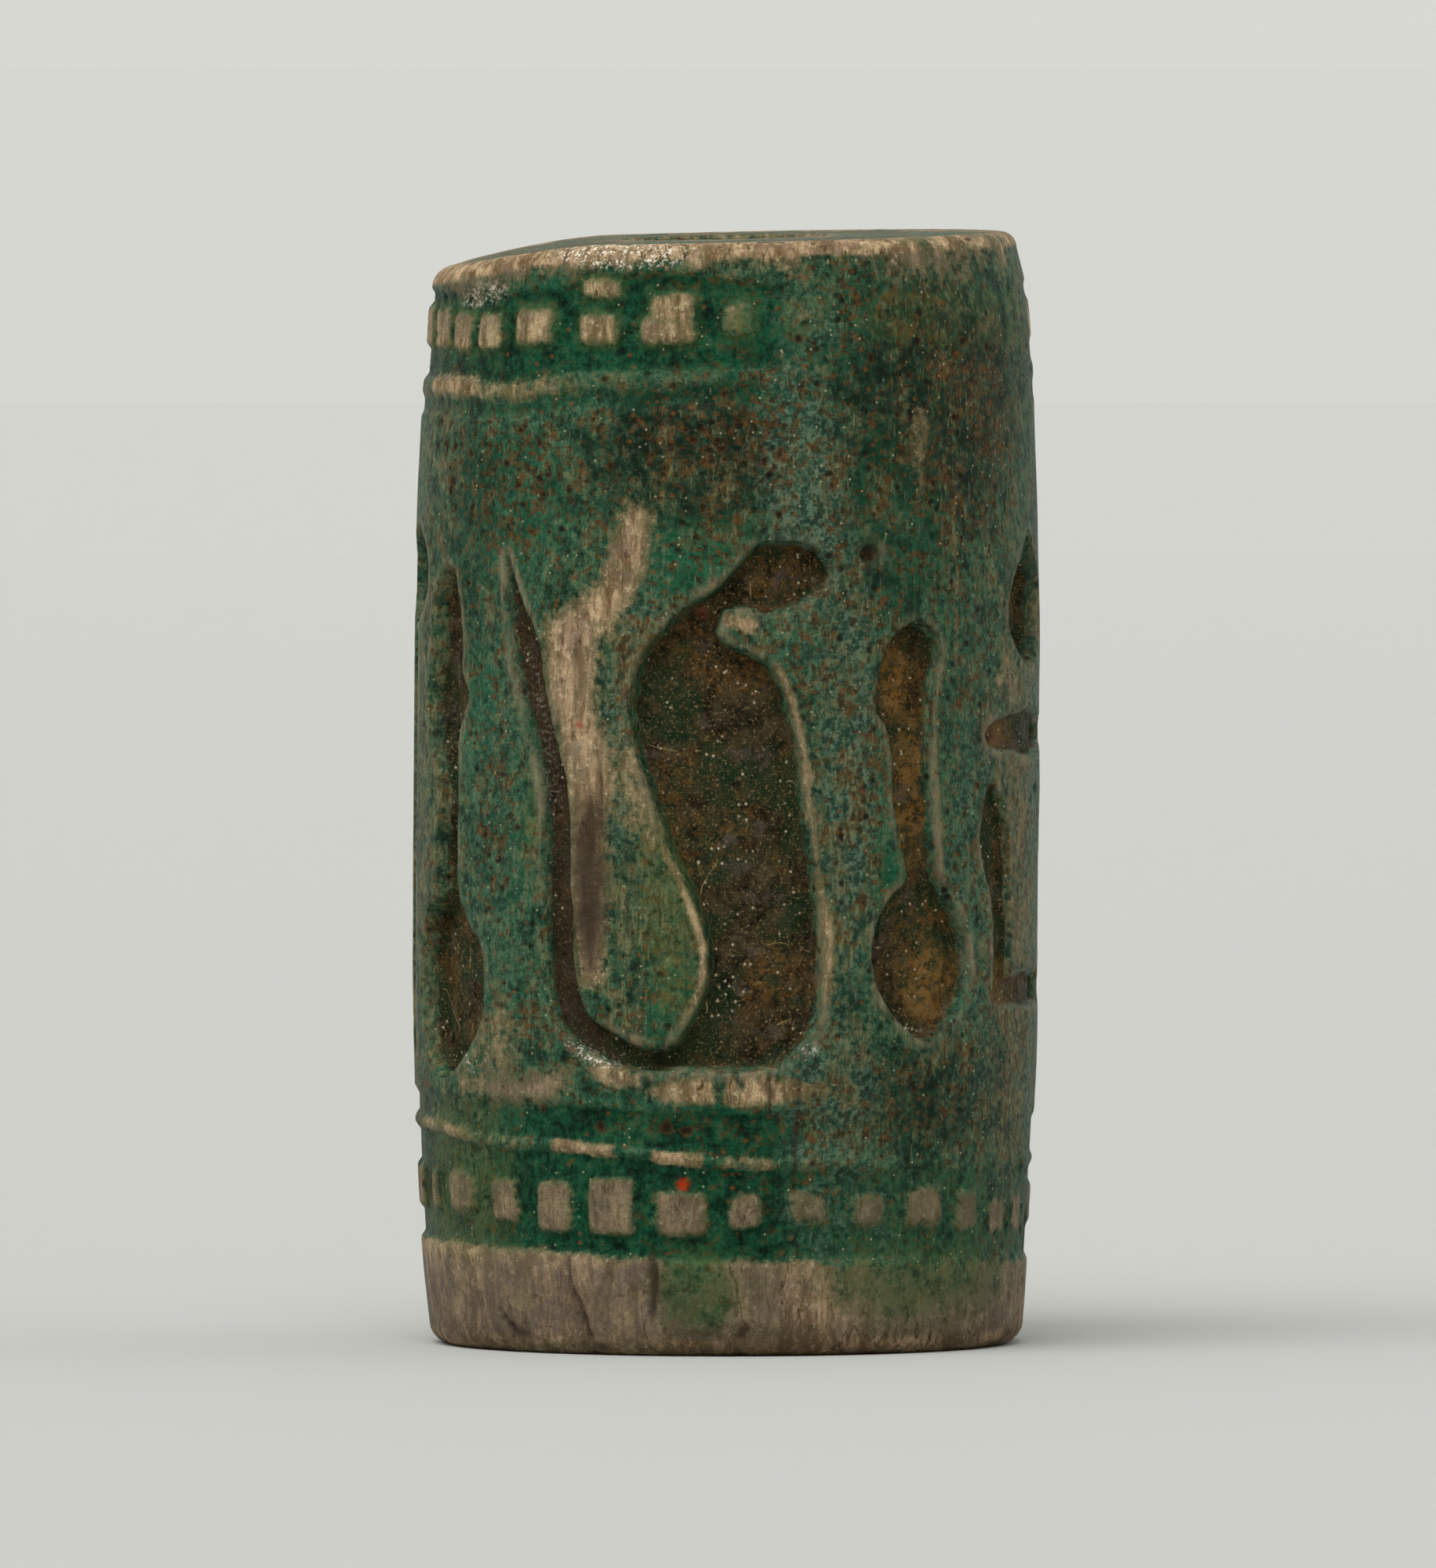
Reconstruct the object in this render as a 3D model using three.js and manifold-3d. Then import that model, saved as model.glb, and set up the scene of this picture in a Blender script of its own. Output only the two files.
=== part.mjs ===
// A cylinder seal of glazed stone, in millimetres. It stands on its lower end, with its axis on +Z
// and the side to be looked at towards -Y. Angles round it are degrees from -Y, growing towards +X.
// The stone is a slim barrel with a string hole. Sunk figures stand in a frieze between two ladder
// borders, and the upper end is worn out of true.
import * as THREE from "three";
import { mergeVertices } from "three/addons/utils/BufferGeometryUtils.js";
import Module from "manifold-3d";

const wasm = await Module();
wasm.setup();

// The stone
const HEIGHT = 19.85; // on the axis
const BELLY_RADIUS = 5.65; // the widest place
const BELLY_HEIGHT = 9.5; // its height above the lower end
const LOWER_TAPER = 0.5; // radius lost from the belly to the lower end
const UPPER_TAPER = 0.38; // radius lost from the belly to the upper end
const RIM_ROUNDING = 0.32;
const STRING_HOLE_RADIUS = 1.7;
const HOLE_MOUTH_WEAR = 0.25; // how much wider and how deep the string wore each mouth

// The upper end is cut a little askew, and its left shoulder is rubbed away
const RISE_TO_RIGHT = 0.022; // mm of height for each mm towards +X
const RISE_TO_BACK = 0.025; // mm of height for each mm towards +Y
const SKEW_REACH = 3; // how far below the end the skew dies out
const WORN_SHOULDER_START = 2.9; // left of the axis
const WORN_SHOULDER_SLOPE = 15; // degrees

// The ladder borders: rings of groove and ridge, with rungs between two of the grooves
const BORDER_DEPTH = 0.2;
const LOWER_MARGIN = 1.72; // bare stone below the lower border
const UPPER_MARGIN = 0.95; // bare stone above the upper border
const CELL_HEIGHT = 0.78;
const RUNG_WIDTH = 0.34;
const RUNG_DEPTH = 0.15; // shallower than the rails that the rungs run into
const RAIL_WIDTH = 0.46; // the groove on either side of the cells
const RIDGE_WIDTH = 0.22; // left standing between rail and outer groove
const OUTER_GROOVE_WIDTH = 0.55;
const LOWER_RUNGS = 30;
const LOWER_FIRST_RUNG = -62.2; // degrees
const UPPER_RUNGS = 28;
const UPPER_FIRST_RUNG = -56.4;
const LOWER_DRIFT = -0.3; // mm that the hand-cut rings climb from the middle to the right side
const UPPER_DRIFT = 0.25;

// The frieze is drawn unrolled on a strip, and stretched to the stone's girth and the room between borders
const STRIP_LENGTH = 35.5;
const STRIP_HEIGHT = 12.25;
const FIGURE_DEPTH = 0.45;
const LINE_DEPTH = 0.3;
const PIT_DEPTH = 0.2;
const CUTTER_RISE = 0.4; // how far a cutting body stands out of the stone

// How finely the round forms are faceted
const SIDES = 48;
const FRIEZE_RINGS = 5;
const RIM_STEPS = 3;
const ROWS_PER_STATION = 2;

const lowerBorder = borderRings(LOWER_MARGIN, 1);
const upperBorder = borderRings(HEIGHT - UPPER_MARGIN, -1);
const FRIEZE_FLOOR = lowerBorder.end;
const FRIEZE_HEIGHT = upperBorder.end - lowerBorder.end;

// Heights of a border's rings, counted from its bare margin towards the frieze (up: 1 or -1)
function borderRings(start, up) {
  const outerRail = start + (up * RAIL_WIDTH) / 2;
  const cells = outerRail + (up * (RAIL_WIDTH + CELL_HEIGHT)) / 2;
  const innerRail = cells + (up * (RAIL_WIDTH + CELL_HEIGHT)) / 2;
  const outerGroove = innerRail + up * ((RAIL_WIDTH + OUTER_GROOVE_WIDTH) / 2 + RIDGE_WIDTH);
  return { outerRail, cells, innerRail, outerGroove, end: outerGroove + (up * OUTER_GROOVE_WIDTH) / 2 };
}

// The stone's radius at a height: a barrel that narrows towards both ends
function wallRadius(z) {
  const above = z > BELLY_HEIGHT;
  const reach = above ? HEIGHT - BELLY_HEIGHT : BELLY_HEIGHT;
  const taper = above ? UPPER_TAPER : LOWER_TAPER;
  return BELLY_RADIUS - taper * Math.min(1, Math.abs(z - BELLY_HEIGHT) / reach) ** 3;
}

function toSolid(geometry) {
  geometry.deleteAttribute("normal");
  geometry.deleteAttribute("uv");
  const merged = mergeVertices(geometry, 1e-4);
  const vertProperties = new Float32Array(merged.attributes.position.array);
  const triVerts = new Uint32Array(merged.index.array);
  return new wasm.Manifold(new wasm.Mesh({ numProp: 3, vertProperties, triVerts }));
}

function toGeometry(solid) {
  const { vertProperties, triVerts } = solid.getMesh();
  const geometry = new THREE.BufferGeometry();
  geometry.setAttribute("position", new THREE.BufferAttribute(vertProperties, 3));
  geometry.setIndex(new THREE.BufferAttribute(triVerts, 1));
  geometry.computeVertexNormals();
  return geometry;
}

// Moves every vertex of a geometry: move(point) changes the point in place
function displace(geometry, move) {
  const position = geometry.attributes.position;
  const point = new THREE.Vector3();
  for (let i = 0; i < position.count; i++) {
    move(point.fromBufferAttribute(position, i));
    position.setXYZ(i, point.x, point.y, point.z);
  }
  return geometry;
}

// A closed profile of [radius, height] points turned round +Z
function turned(profile) {
  const points = [...profile, profile[0]].map(([r, z]) => new THREE.Vector2(r, z));
  return new THREE.LatheGeometry(points, SIDES).rotateX(Math.PI / 2);
}

// A rim's rounding, as points from one angle to another round its centre
function rimArc(radius, height, from, to) {
  return Array.from({ length: RIM_STEPS + 1 }, (_, i) => {
    const angle = THREE.MathUtils.degToRad(from + ((to - from) * i) / RIM_STEPS);
    return [radius + RIM_ROUNDING * Math.cos(angle), height + RIM_ROUNDING * Math.sin(angle)];
  });
}

// The wall across a ring groove, which is narrower at its floor
function grooved(height, width) {
  const half = width / 2;
  const places = [[-half, 0], [-half / 2, BORDER_DEPTH], [half / 2, BORDER_DEPTH], [half, 0]];
  return places.map(([up, sunk]) => [wallRadius(height + up) - sunk, height + up]);
}

// A border's three grooves, from its margin inwards
function borderWall(border) {
  return [
    grooved(border.outerRail, RAIL_WIDTH),
    grooved(border.innerRail, RAIL_WIDTH),
    grooved(border.outerGroove, OUTER_GROOVE_WIDTH),
  ];
}

// How far a ring at a height climbs, or sinks, towards the right side
function drift(z) {
  const { lerp } = THREE.MathUtils;
  const [low, high] = [lowerBorder.cells, upperBorder.cells];
  if (z < low) return lerp(0, LOWER_DRIFT, z / low);
  if (z > high) return lerp(UPPER_DRIFT, 0, (z - high) / (HEIGHT - high));
  return lerp(LOWER_DRIFT, UPPER_DRIFT, (z - low) / (high - low));
}

function barrel() {
  const lowest = RIM_ROUNDING;
  const highest = HEIGHT - RIM_ROUNDING;
  const plainWall = Array.from({ length: FRIEZE_RINGS }, (_, i) => {
    const z = FRIEZE_FLOOR + (FRIEZE_HEIGHT * (i + 1)) / (FRIEZE_RINGS + 1);
    return [wallRadius(z), z];
  });
  const profile = [
    [STRING_HOLE_RADIUS + HOLE_MOUTH_WEAR, 0],
    ...rimArc(wallRadius(lowest) - RIM_ROUNDING, lowest, -90, 0),
    ...borderWall(lowerBorder).flat(),
    ...plainWall,
    ...borderWall(upperBorder).reverse().flat(),
    ...rimArc(wallRadius(highest) - RIM_ROUNDING, highest, 0, 90),
    [STRING_HOLE_RADIUS + HOLE_MOUTH_WEAR, HEIGHT],
    [STRING_HOLE_RADIUS, HEIGHT - HOLE_MOUTH_WEAR],
    [STRING_HOLE_RADIUS, HOLE_MOUTH_WEAR],
  ];
  const askew = displace(turned(profile), (p) => {
    const share = Math.max(0, 1 - (HEIGHT - p.z) / SKEW_REACH);
    p.z += (drift(p.z) * p.x) / Math.hypot(p.x, p.y);
    p.z += share * (RISE_TO_RIGHT * p.x + RISE_TO_BACK * p.y);
  });
  return toSolid(askew);
}

// What was rubbed off the left shoulder: a block whose underside slopes down to the left
function wornShoulder() {
  const reach = 4 * BELLY_RADIUS;
  const block = new THREE.BoxGeometry(reach, reach, reach);
  block.translate(0, 0, reach / 2);
  block.rotateY(-THREE.MathUtils.degToRad(WORN_SHOULDER_SLOPE));
  block.translate(-WORN_SHOULDER_START, 0, HEIGHT - RISE_TO_RIGHT * WORN_SHOULDER_START);
  return toSolid(block);
}

// The short upright cuts that part a border's cells, each running to the middle of both rails
function rungs(border, count, first) {
  const tall = CELL_HEIGHT + RAIL_WIDTH;
  return Array.from({ length: count }, (_, i) => {
    const angle = THREE.MathUtils.degToRad(first + (360 * i) / count);
    const cut = new THREE.BoxGeometry(RUNG_WIDTH, RUNG_DEPTH + CUTTER_RISE, tall);
    const outward = wallRadius(border.cells) + (CUTTER_RISE - RUNG_DEPTH) / 2;
    cut.translate(0, -outward, border.cells + drift(border.cells) * Math.sin(angle));
    return toSolid(cut.rotateZ(angle));
  });
}

// Cross-sections of a carved stroke, as [share of its half width, share of its depth]
const SUNK_FIELD = [[-1, -0.8], [0, -1], [1, -0.8]];
const CUT_LINE = [[-0.9, -0.7], [0, -1], [0.9, -0.7]];

// From the drawing strip to the stone. x and y are the place on the strip and z is height out of the wall
function ontoStone(p) {
  const angle = (2 * Math.PI * p.x) / STRIP_LENGTH;
  const z = FRIEZE_FLOOR + (p.y * FRIEZE_HEIGHT) / STRIP_HEIGHT;
  const radius = wallRadius(z) + p.z;
  p.set(radius * Math.sin(angle), -radius * Math.cos(angle), z);
}

// Rows across a stroke: its middle, its direction and its half width, with both ends rounded off
function strokeRows(stations) {
  const spine = new THREE.CatmullRomCurve3(stations.map((s) => new THREE.Vector3(...s)));
  const steps = (stations.length - 1) * ROWS_PER_STATION;
  const rows = Array.from({ length: steps + 1 }, (_, i) => {
    const point = spine.getPoint(i / steps);
    const tangent = spine.getTangent(i / steps);
    const along = new THREE.Vector2(tangent.x, tangent.y).normalize();
    return { middle: new THREE.Vector2(point.x, point.y), along, half: point.z };
  });
  const roundOff = (row, side) => [35, 70].map((degrees) => {
    const angle = THREE.MathUtils.degToRad(degrees);
    const out = side * row.half * Math.sin(angle);
    const middle = row.middle.clone().addScaledVector(row.along, out);
    return { middle, along: row.along, half: row.half * Math.cos(angle) };
  });
  const [foot, head] = [rows[0], rows[rows.length - 1]];
  return [...roundOff(foot, -1).reverse(), ...rows, ...roundOff(head, 1)];
}

// The body that cuts one stroke of a figure: loops across the stroke, skinned, with flat ends
function strokeCutter({ stations, depth, section }) {
  const loop = [[1, CUTTER_RISE], [-1, CUTTER_RISE], ...section.map(([u, share]) => [u, share * depth])];
  const rows = strokeRows(stations);
  const positions = rows.flatMap(({ middle, along, half }) =>
    loop.flatMap(([u, out]) => [middle.x + along.y * u * half, middle.y - along.x * u * half, out]),
  );
  const n = loop.length;
  const index = [];
  for (let row = 0; row < rows.length - 1; row++) {
    for (let i = 0; i < n; i++) {
      const [a, b] = [row * n + i, row * n + ((i + 1) % n)];
      index.push(a, a + n, b, b, a + n, b + n);
    }
  }
  const last = (rows.length - 1) * n;
  for (let i = 2; i < n; i++) {
    index.push(0, i - 1, i);
    index.push(last, last + i, last + i - 1);
  }
  const geometry = new THREE.BufferGeometry();
  geometry.setAttribute("position", new THREE.Float32BufferAttribute(positions, 3));
  geometry.setIndex(index);
  return toSolid(displace(geometry, ontoStone));
}

const field = (...stations) => ({ stations, depth: FIGURE_DEPTH, section: SUNK_FIELD });
const line = (...stations) => ({ stations, depth: LINE_DEPTH, section: CUT_LINE });

// Puts a figure's strokes on the strip: centre is the middle of the figure, and facing 1 or -1
function placed(strokes, centre, facing = 1) {
  return strokes.map((stroke) => ({
    ...stroke,
    stations: stroke.stations.map(([x, y, half]) => [centre + facing * x, y, half]),
  }));
}

// A rearing cobra: hood and body, head, and the long tail that rises behind it.
// Each station is [place, height above the frieze's floor, half width]
const COBRA = [
  field([-0.62, 8.8, 0.34], [-0.5, 8.1, 1.12], [-0.32, 7.35, 1.43], [-0.2, 6.7, 1.48], [0.02, 5.8, 1.4],
    [0.38, 4.4, 1.2], [0.72, 3.1, 1.05], [0.62, 2, 1.1]),
  field([-0.4, 9, 0.17], [0.15, 9.4, 0.38], [0.75, 9.6, 0.62], [1.35, 9.65, 0.56]),
  line([0.3, 1.25, 0.4], [-0.65, 1.12, 0.28], [-1.5, 1.08, 0.24], [-2.3, 1.45, 0.28], [-2.95, 2.3, 0.32],
    [-3.1, 3.6, 0.27], [-3.15, 5.3, 0.27], [-3.5, 7.1, 0.26], [-3.93, 8.35, 0.34], [-4.45, 9.75, 0.12]),
];

// A lute-shaped sign: a full bowl from foot upwards, and a neck that widens to a head. It leans left by lean
function lute({ foot, bowl, neck, head, top, lean }) {
  const at = (height, half) => [(-lean * (height - foot)) / (top - foot), height, half];
  return [
    field(at(foot + 0.95 * bowl, 0.93 * bowl), at(foot + 1.45 * bowl, bowl), at(foot + 2 * bowl, 0.72 * bowl),
      at(foot + 2.5 * bowl, neck), at(top - 3 * head, neck), at(top - 2 * head, head),
      at(top - head, 0.9 * head)),
  ];
}

const LUTE = lute({ foot: 1.36, bowl: 1.13, neck: 0.4, head: 0.62, top: 8.9, lean: 0.45 });
const BIG_LUTE = lute({ foot: 0.6, bowl: 1.28, neck: 0.4, head: 0.62, top: 9.6, lean: 0.1 });
const LUTE_BAR = [line([-0.52, 7.25, 0.42], [0.38, 7.25, 0.42])];

// A loop over a cross bar, with an open frame below
const LOOPED_FRAME = [
  field([0, 9.15, 1.12], [0, 8.9, 1.12], [0, 8.4, 0.5]),
  line([-2.05, 6.9, 0.38], [2.05, 6.9, 0.38]),
  line([-1.78, 5.5, 0.32], [-1.76, 4.9, 0.45], [-1.6, 4, 0.26], [-1.42, 2.3, 0.25]),
  line([1.78, 5.5, 0.32], [1.76, 4.9, 0.45], [1.6, 4, 0.26], [1.42, 2.3, 0.25]),
  line([-1.4, 2.27, 0.27], [1.4, 2.27, 0.27]),
];

// A round-headed wand
const WAND = [
  field([0, 9.6, 0.95], [0, 9.4, 0.95]),
  line([0, 8.4, 0.26], [0, 1.2, 0.22]),
];

const PIT = [{ stations: [[-0.04, 9.8, 0.17], [0.04, 9.8, 0.17]], depth: PIT_DEPTH, section: SUNK_FIELD }];

// The frieze, from left to right along the strip
const frieze = [
  ...placed(COBRA, -18.2, -1),
  ...placed(LUTE, -11.7),
  ...placed(WAND, -8.3),
  ...placed([...BIG_LUTE, ...LUTE_BAR], -6.2),
  ...placed(COBRA, 0),
  ...placed(PIT, 2.64),
  ...placed(LUTE, 3.9),
  ...placed(LOOPED_FRAME, 7.4),
  ...placed(LUTE, 12.2),
];

function seal() {
  const cutters = [
    wornShoulder(),
    ...rungs(lowerBorder, LOWER_RUNGS, LOWER_FIRST_RUNG),
    ...rungs(upperBorder, UPPER_RUNGS, UPPER_FIRST_RUNG),
    ...frieze.map(strokeCutter),
  ];
  const carved = cutters.reduce((stone, cutter) => stone.subtract(cutter), barrel());
  const glazedStone = new THREE.MeshStandardMaterial({ color: 0x3f5a40, roughness: 0.5, metalness: 0 });
  const mesh = new THREE.Mesh(toGeometry(carved), glazedStone);
  mesh.name = "seal";
  return mesh;
}

const root = new THREE.Group();
root.add(seal());
export default root;
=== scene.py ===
"""The look of a glazed cylinder seal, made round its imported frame.

A place on the wall is (s, z) in millimetres: s runs round the wall from the middle of the front
towards +X, and z is the height above the lower end. Depths are millimetres into the stone.
"""
import math

import bpy
import numpy as np
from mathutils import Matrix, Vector


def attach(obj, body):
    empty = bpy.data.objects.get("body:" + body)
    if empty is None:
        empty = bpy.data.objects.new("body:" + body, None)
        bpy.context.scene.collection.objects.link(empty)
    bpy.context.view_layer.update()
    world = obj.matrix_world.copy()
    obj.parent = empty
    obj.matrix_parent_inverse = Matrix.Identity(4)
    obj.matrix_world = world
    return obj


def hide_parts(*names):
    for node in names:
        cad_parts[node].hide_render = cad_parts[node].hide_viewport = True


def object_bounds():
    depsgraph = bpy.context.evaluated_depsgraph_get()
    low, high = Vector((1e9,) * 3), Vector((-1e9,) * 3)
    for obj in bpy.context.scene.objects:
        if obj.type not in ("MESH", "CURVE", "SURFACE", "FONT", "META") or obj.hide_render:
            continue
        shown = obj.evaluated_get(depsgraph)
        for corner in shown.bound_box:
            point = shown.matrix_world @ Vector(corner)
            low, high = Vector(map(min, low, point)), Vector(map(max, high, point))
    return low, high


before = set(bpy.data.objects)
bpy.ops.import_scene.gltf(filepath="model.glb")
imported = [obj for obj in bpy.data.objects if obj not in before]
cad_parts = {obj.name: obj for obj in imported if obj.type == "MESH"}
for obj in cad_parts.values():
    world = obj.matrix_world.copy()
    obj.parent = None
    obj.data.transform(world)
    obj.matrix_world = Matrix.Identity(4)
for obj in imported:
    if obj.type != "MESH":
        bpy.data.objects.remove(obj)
cad_low, cad_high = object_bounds()

MM = 0.001
BELLY_RADIUS = cad_high.x / MM
GIRTH = 2 * math.pi * BELLY_RADIUS

# The stone
HEIGHT = 19.85  # on the axis
BELLY_HEIGHT = 9.5
LOWER_TAPER = 0.32  # radius lost from the belly to each end
UPPER_TAPER = 0.34
SKIN = 0.02  # how far the worn surface lies within the solid's
LEAN = 0.005  # how far the stone leans to the right, for each mm above the belly
LOWER_RIM = 0.38  # rounding of each rim
UPPER_RIM = 0.3
HOLE_RADIUS = 1.7
MOUTH_WEAR = 0.25
RISE_TO_RIGHT = 0.022  # how the upper end is askew
RISE_TO_BACK = 0.025
SKEW_START = 15.5  # height where the skew begins to be felt
WORN_SHOULDER_START = -2.2  # where the left shoulder starts to fall away
WORN_SHOULDER_FALL = 0.09
RIGHT_SHOULDER_WEAR = 0.17  # how far the right shoulder is worn in, just under the upper end

# How finely the mesh is divided
COLUMNS = 362
WALL_ROWS = 242
RIM_ROWS = 5
FACE_ROWS = 7
HOLE_ROWS = 6
FINE_ARC = 80  # degrees either side of the front
COARSE_ARC = 105
COARSE_SHARE = 0.36  # how dense the columns of the back are, against the front's

# Depths of the carving
FIGURE_DEPTH = 0.46
LINE_DEPTH = 0.33
FRAME_DEPTH = 0.21
BORDER_DEPTH = 0.1
HEAD_DEPTH = 0.4
LUTE_DEPTH = 0.9 * FIGURE_DEPTH
DOT_DEPTH = 0.18
WALL_RUN = 0.12  # how far a recess's wall slopes inwards
LIP_ROUNDING = 0.02
NOISE_START = -3  # the height where noises start, and how much height they cover
NOISE_SPAN = 26
FAR = 1e3


# The carved forms, each from its own centre: a closed outline of (across, height), a stroke of
# (across, height, half width), or rows of (height, left edge, right edge)
COBRA_BODY = [
    (-0.5, 13.38), (-1.0, 13.05), (-1.53, 12.5), (-1.77, 11.6), (-1.62, 10.6), (-1.22, 9.5), (-0.77, 8.5),
    (-0.37, 7.55), (-0.3, 7.0), (-0.47, 6.3), (-0.8, 5.7), (-1.05, 5.5), (-1.5, 5.3), (-1.4, 5.03),
    (-0.7, 5.08), (0, 5.05), (0.6, 5.05), (1.1, 5.2), (1.55, 5.65), (1.76, 6.4), (1.75, 7.6), (1.6, 8.6),
    (1.42, 9.7), (1.35, 10.5), (1.18, 11.3), (0.95, 12.0), (0.6, 12.4), (0.1, 12.6), (-0.2, 12.85),
]
COBRA_HEAD = [
    (-0.75, 13.25), (-0.2, 13.6), (0.2, 14.05), (0.6, 14.4), (1.2, 14.43), (1.7, 14.25), (1.95, 13.85),
    (1.6, 13.45), (1.05, 13.2), (0.65, 13.12), (0.3, 13.24), (-0.05, 13.2), (-0.2, 12.8), (-0.6, 12.8),
]
COBRA_TAIL = [
    (-4.42, 14.15, 0.07), (-4.2, 13.3, 0.2), (-3.97, 12.6, 0.33), (-3.8, 12.0, 0.3), (-3.61, 11.3, 0.27),
    (-3.38, 10.55, 0.27), (-3.25, 9.9, 0.27), (-3.2, 9.0, 0.28), (-3.17, 8.0, 0.29), (-3.13, 7.0, 0.3),
    (-3.02, 6.35, 0.32), (-2.78, 5.85, 0.3), (-2.3, 5.57, 0.27), (-1.75, 5.32, 0.25), (-1.2, 5.25, 0.24),
]
LUTE = [
    (13.02, -0.35, -0.15), (12.75, -0.78, 0.2), (12.4, -0.98, 0.3), (12.0, -1.06, 0.16), (11.45, -1.13, 0.08),
    (11.1, -0.9, 0.1), (10.6, -0.79, 0.12), (9.8, -0.75, 0.15), (9.0, -0.54, 0.2), (8.45, -0.47, 0.31),
    (8.1, -0.8, 0.58), (7.75, -1.02, 0.88), (7.3, -1.14, 1.06), (6.75, -1.12, 1.11), (6.25, -0.88, 0.96),
    (5.85, -0.5, 0.62), (5.58, -0.1, 0.3),
]
BIG_LUTE = [
    (13.9, -0.25, 0.15), (13.4, -0.68, 0.4), (12.7, -0.75, 0.55), (12.1, -0.77, 0.54), (11.7, -0.93, 0.77),
    (11.3, -0.9, 0.62), (10.9, -0.8, 0.43), (10.3, -0.45, 0.42), (9.5, -0.35, 0.4), (8.6, -0.37, 0.41),
    (8.1, -0.45, 0.5), (7.7, -0.9, 0.76), (7.2, -1.17, 1.14), (6.6, -1.3, 1.25), (6.0, -1.22, 1.18),
    (5.5, -1.08, 0.88), (5.1, -0.85, 0.4), (4.88, -0.35, 0.0),
]
DROP = [
    (14.5, -0.15, 0.15), (14.1, -0.5, 0.5), (13.8, -0.84, 0.84), (13.4, -1.05, 1.05), (13.0, -1.1, 1.1),
    (12.7, -0.92, 0.92), (12.35, -0.5, 0.5), (12.18, -0.15, 0.15),
]
FRAME_ARM = [
    (10.1, -1.88, -1.6), (9.8, -1.95, -1.3), (9.4, -2.06, -1.12), (9.0, -2.08, -1.08), (8.5, -1.9, -1.05),
    (8.05, -1.72, -1.0), (7.2, -1.62, -0.95), (6.6, -1.58, -0.95), (6.3, -1.4, -0.95),
]
CROSS_BAR = [
    (-1.78, 10.95, 0.18), (-1.4, 10.97, 0.3), (-0.8, 11.0, 0.38), (0, 11.0, 0.46), (0.8, 11.0, 0.38),
    (1.4, 10.97, 0.3), (1.78, 10.95, 0.18),
]
FRAME_FOOT = [(-1.42, 6.4, 0.28), (0, 6.4, 0.34), (1.42, 6.4, 0.28)]
WAND_HEAD = [
    (14.65, -0.2, 0.2), (14.3, -0.85, 0.85), (13.8, -1.05, 1.05), (13.3, -0.85, 0.85), (12.95, -0.2, 0.2),
]
WAND_STEM = [(0, 12.6, 0.24), (0, 9, 0.26), (0, 5.4, 0.22)]
DOT = [(-0.03, 14.2, 0.17), (0.03, 14.2, 0.17)]


def smooth(low, high, value):
    t = np.clip((value - low) / (high - low), 0, 1)
    return t * t * (3 - 2 * t)


def noise(s, z, across, up, seed):
    """Smooth noise from -1 to 1 that closes round the stone, with grains of the given size in mm."""
    columns = max(3, round(GIRTH / across))
    rows = int(NOISE_SPAN / up) + 3
    grid = np.random.default_rng(seed).uniform(-1, 1, (columns, rows))
    u = (s / GIRTH % 1) * columns
    v = np.clip((z - NOISE_START) / up, 0, rows - 2)
    i, j = np.floor(u).astype(int), np.floor(v).astype(int)
    fu, fv = smooth(0, 1, u - i), smooth(0, 1, v - j)
    i, beside = i % columns, (i + 1) % columns
    low = grid[i, j] * (1 - fu) + grid[beside, j] * fu
    high = grid[i, j + 1] * (1 - fu) + grid[beside, j + 1] * fu
    return low * (1 - fv) + high * fv


def round_line(s, places):
    """A height that changes round the stone, from a few (place, height) pairs."""
    return np.interp(s, [p[0] for p in places], [p[1] for p in places], period=GIRTH)


def spline(points, closed, steps=6):
    """Points along a smooth curve through the given ones."""
    p = np.array(points, float)
    if closed:
        p = np.vstack([p[-1:], p, p[:2]])
    else:
        p = np.vstack([2 * p[:1] - p[1:2], p, 2 * p[-1:] - p[-2:-1]])
    t = (np.arange(steps) / steps)[None, :, None]
    a, b, c, d = (p[i : len(p) - 3 + i, None, :] for i in range(4))
    spans = 0.5 * (2 * b + (c - a) * t + (2 * a - 5 * b + 4 * c - d) * t**2 + (3 * b - a - 3 * c + d) * t**3)
    return np.vstack([spans.reshape(-1, p.shape[1]), p[1:2] if closed else p[-2:-1]])


def stroke_inside(s, z, line):
    """How far a place is inside a stroke, and negative outside it."""
    best = np.full(s.shape, -FAR)
    for a, b in zip(line[:-1], line[1:]):
        run = b[:2] - a[:2]
        t = np.clip(((s - a[0]) * run[0] + (z - a[1]) * run[1]) / max(run @ run, 1e-9), 0, 1)
        gap = np.hypot(s - a[0] - t * run[0], z - a[1] - t * run[1])
        best = np.maximum(best, a[2] + t * (b[2] - a[2]) - gap)
    return best


def outline_inside(s, z, line):
    """How far a place is inside a closed outline, and negative outside it."""
    nearest = np.full(s.shape, FAR)
    inside = np.zeros(s.shape, bool)
    for a, b in zip(line[:-1], line[1:]):
        run = b - a
        t = np.clip(((s - a[0]) * run[0] + (z - a[1]) * run[1]) / max(run @ run, 1e-9), 0, 1)
        nearest = np.minimum(nearest, np.hypot(s - a[0] - t * run[0], z - a[1] - t * run[1]))
        if a[1] != b[1]:
            crosses = (a[1] > z) != (b[1] > z)
            inside ^= crosses & (s < a[0] + run[0] * (z - a[1]) / run[1])
    return np.where(inside, nearest, -nearest)


def outline(points):
    return outline_inside, spline(points, closed=True)


def stroke(points):
    return stroke_inside, spline(points, closed=False)


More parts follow.
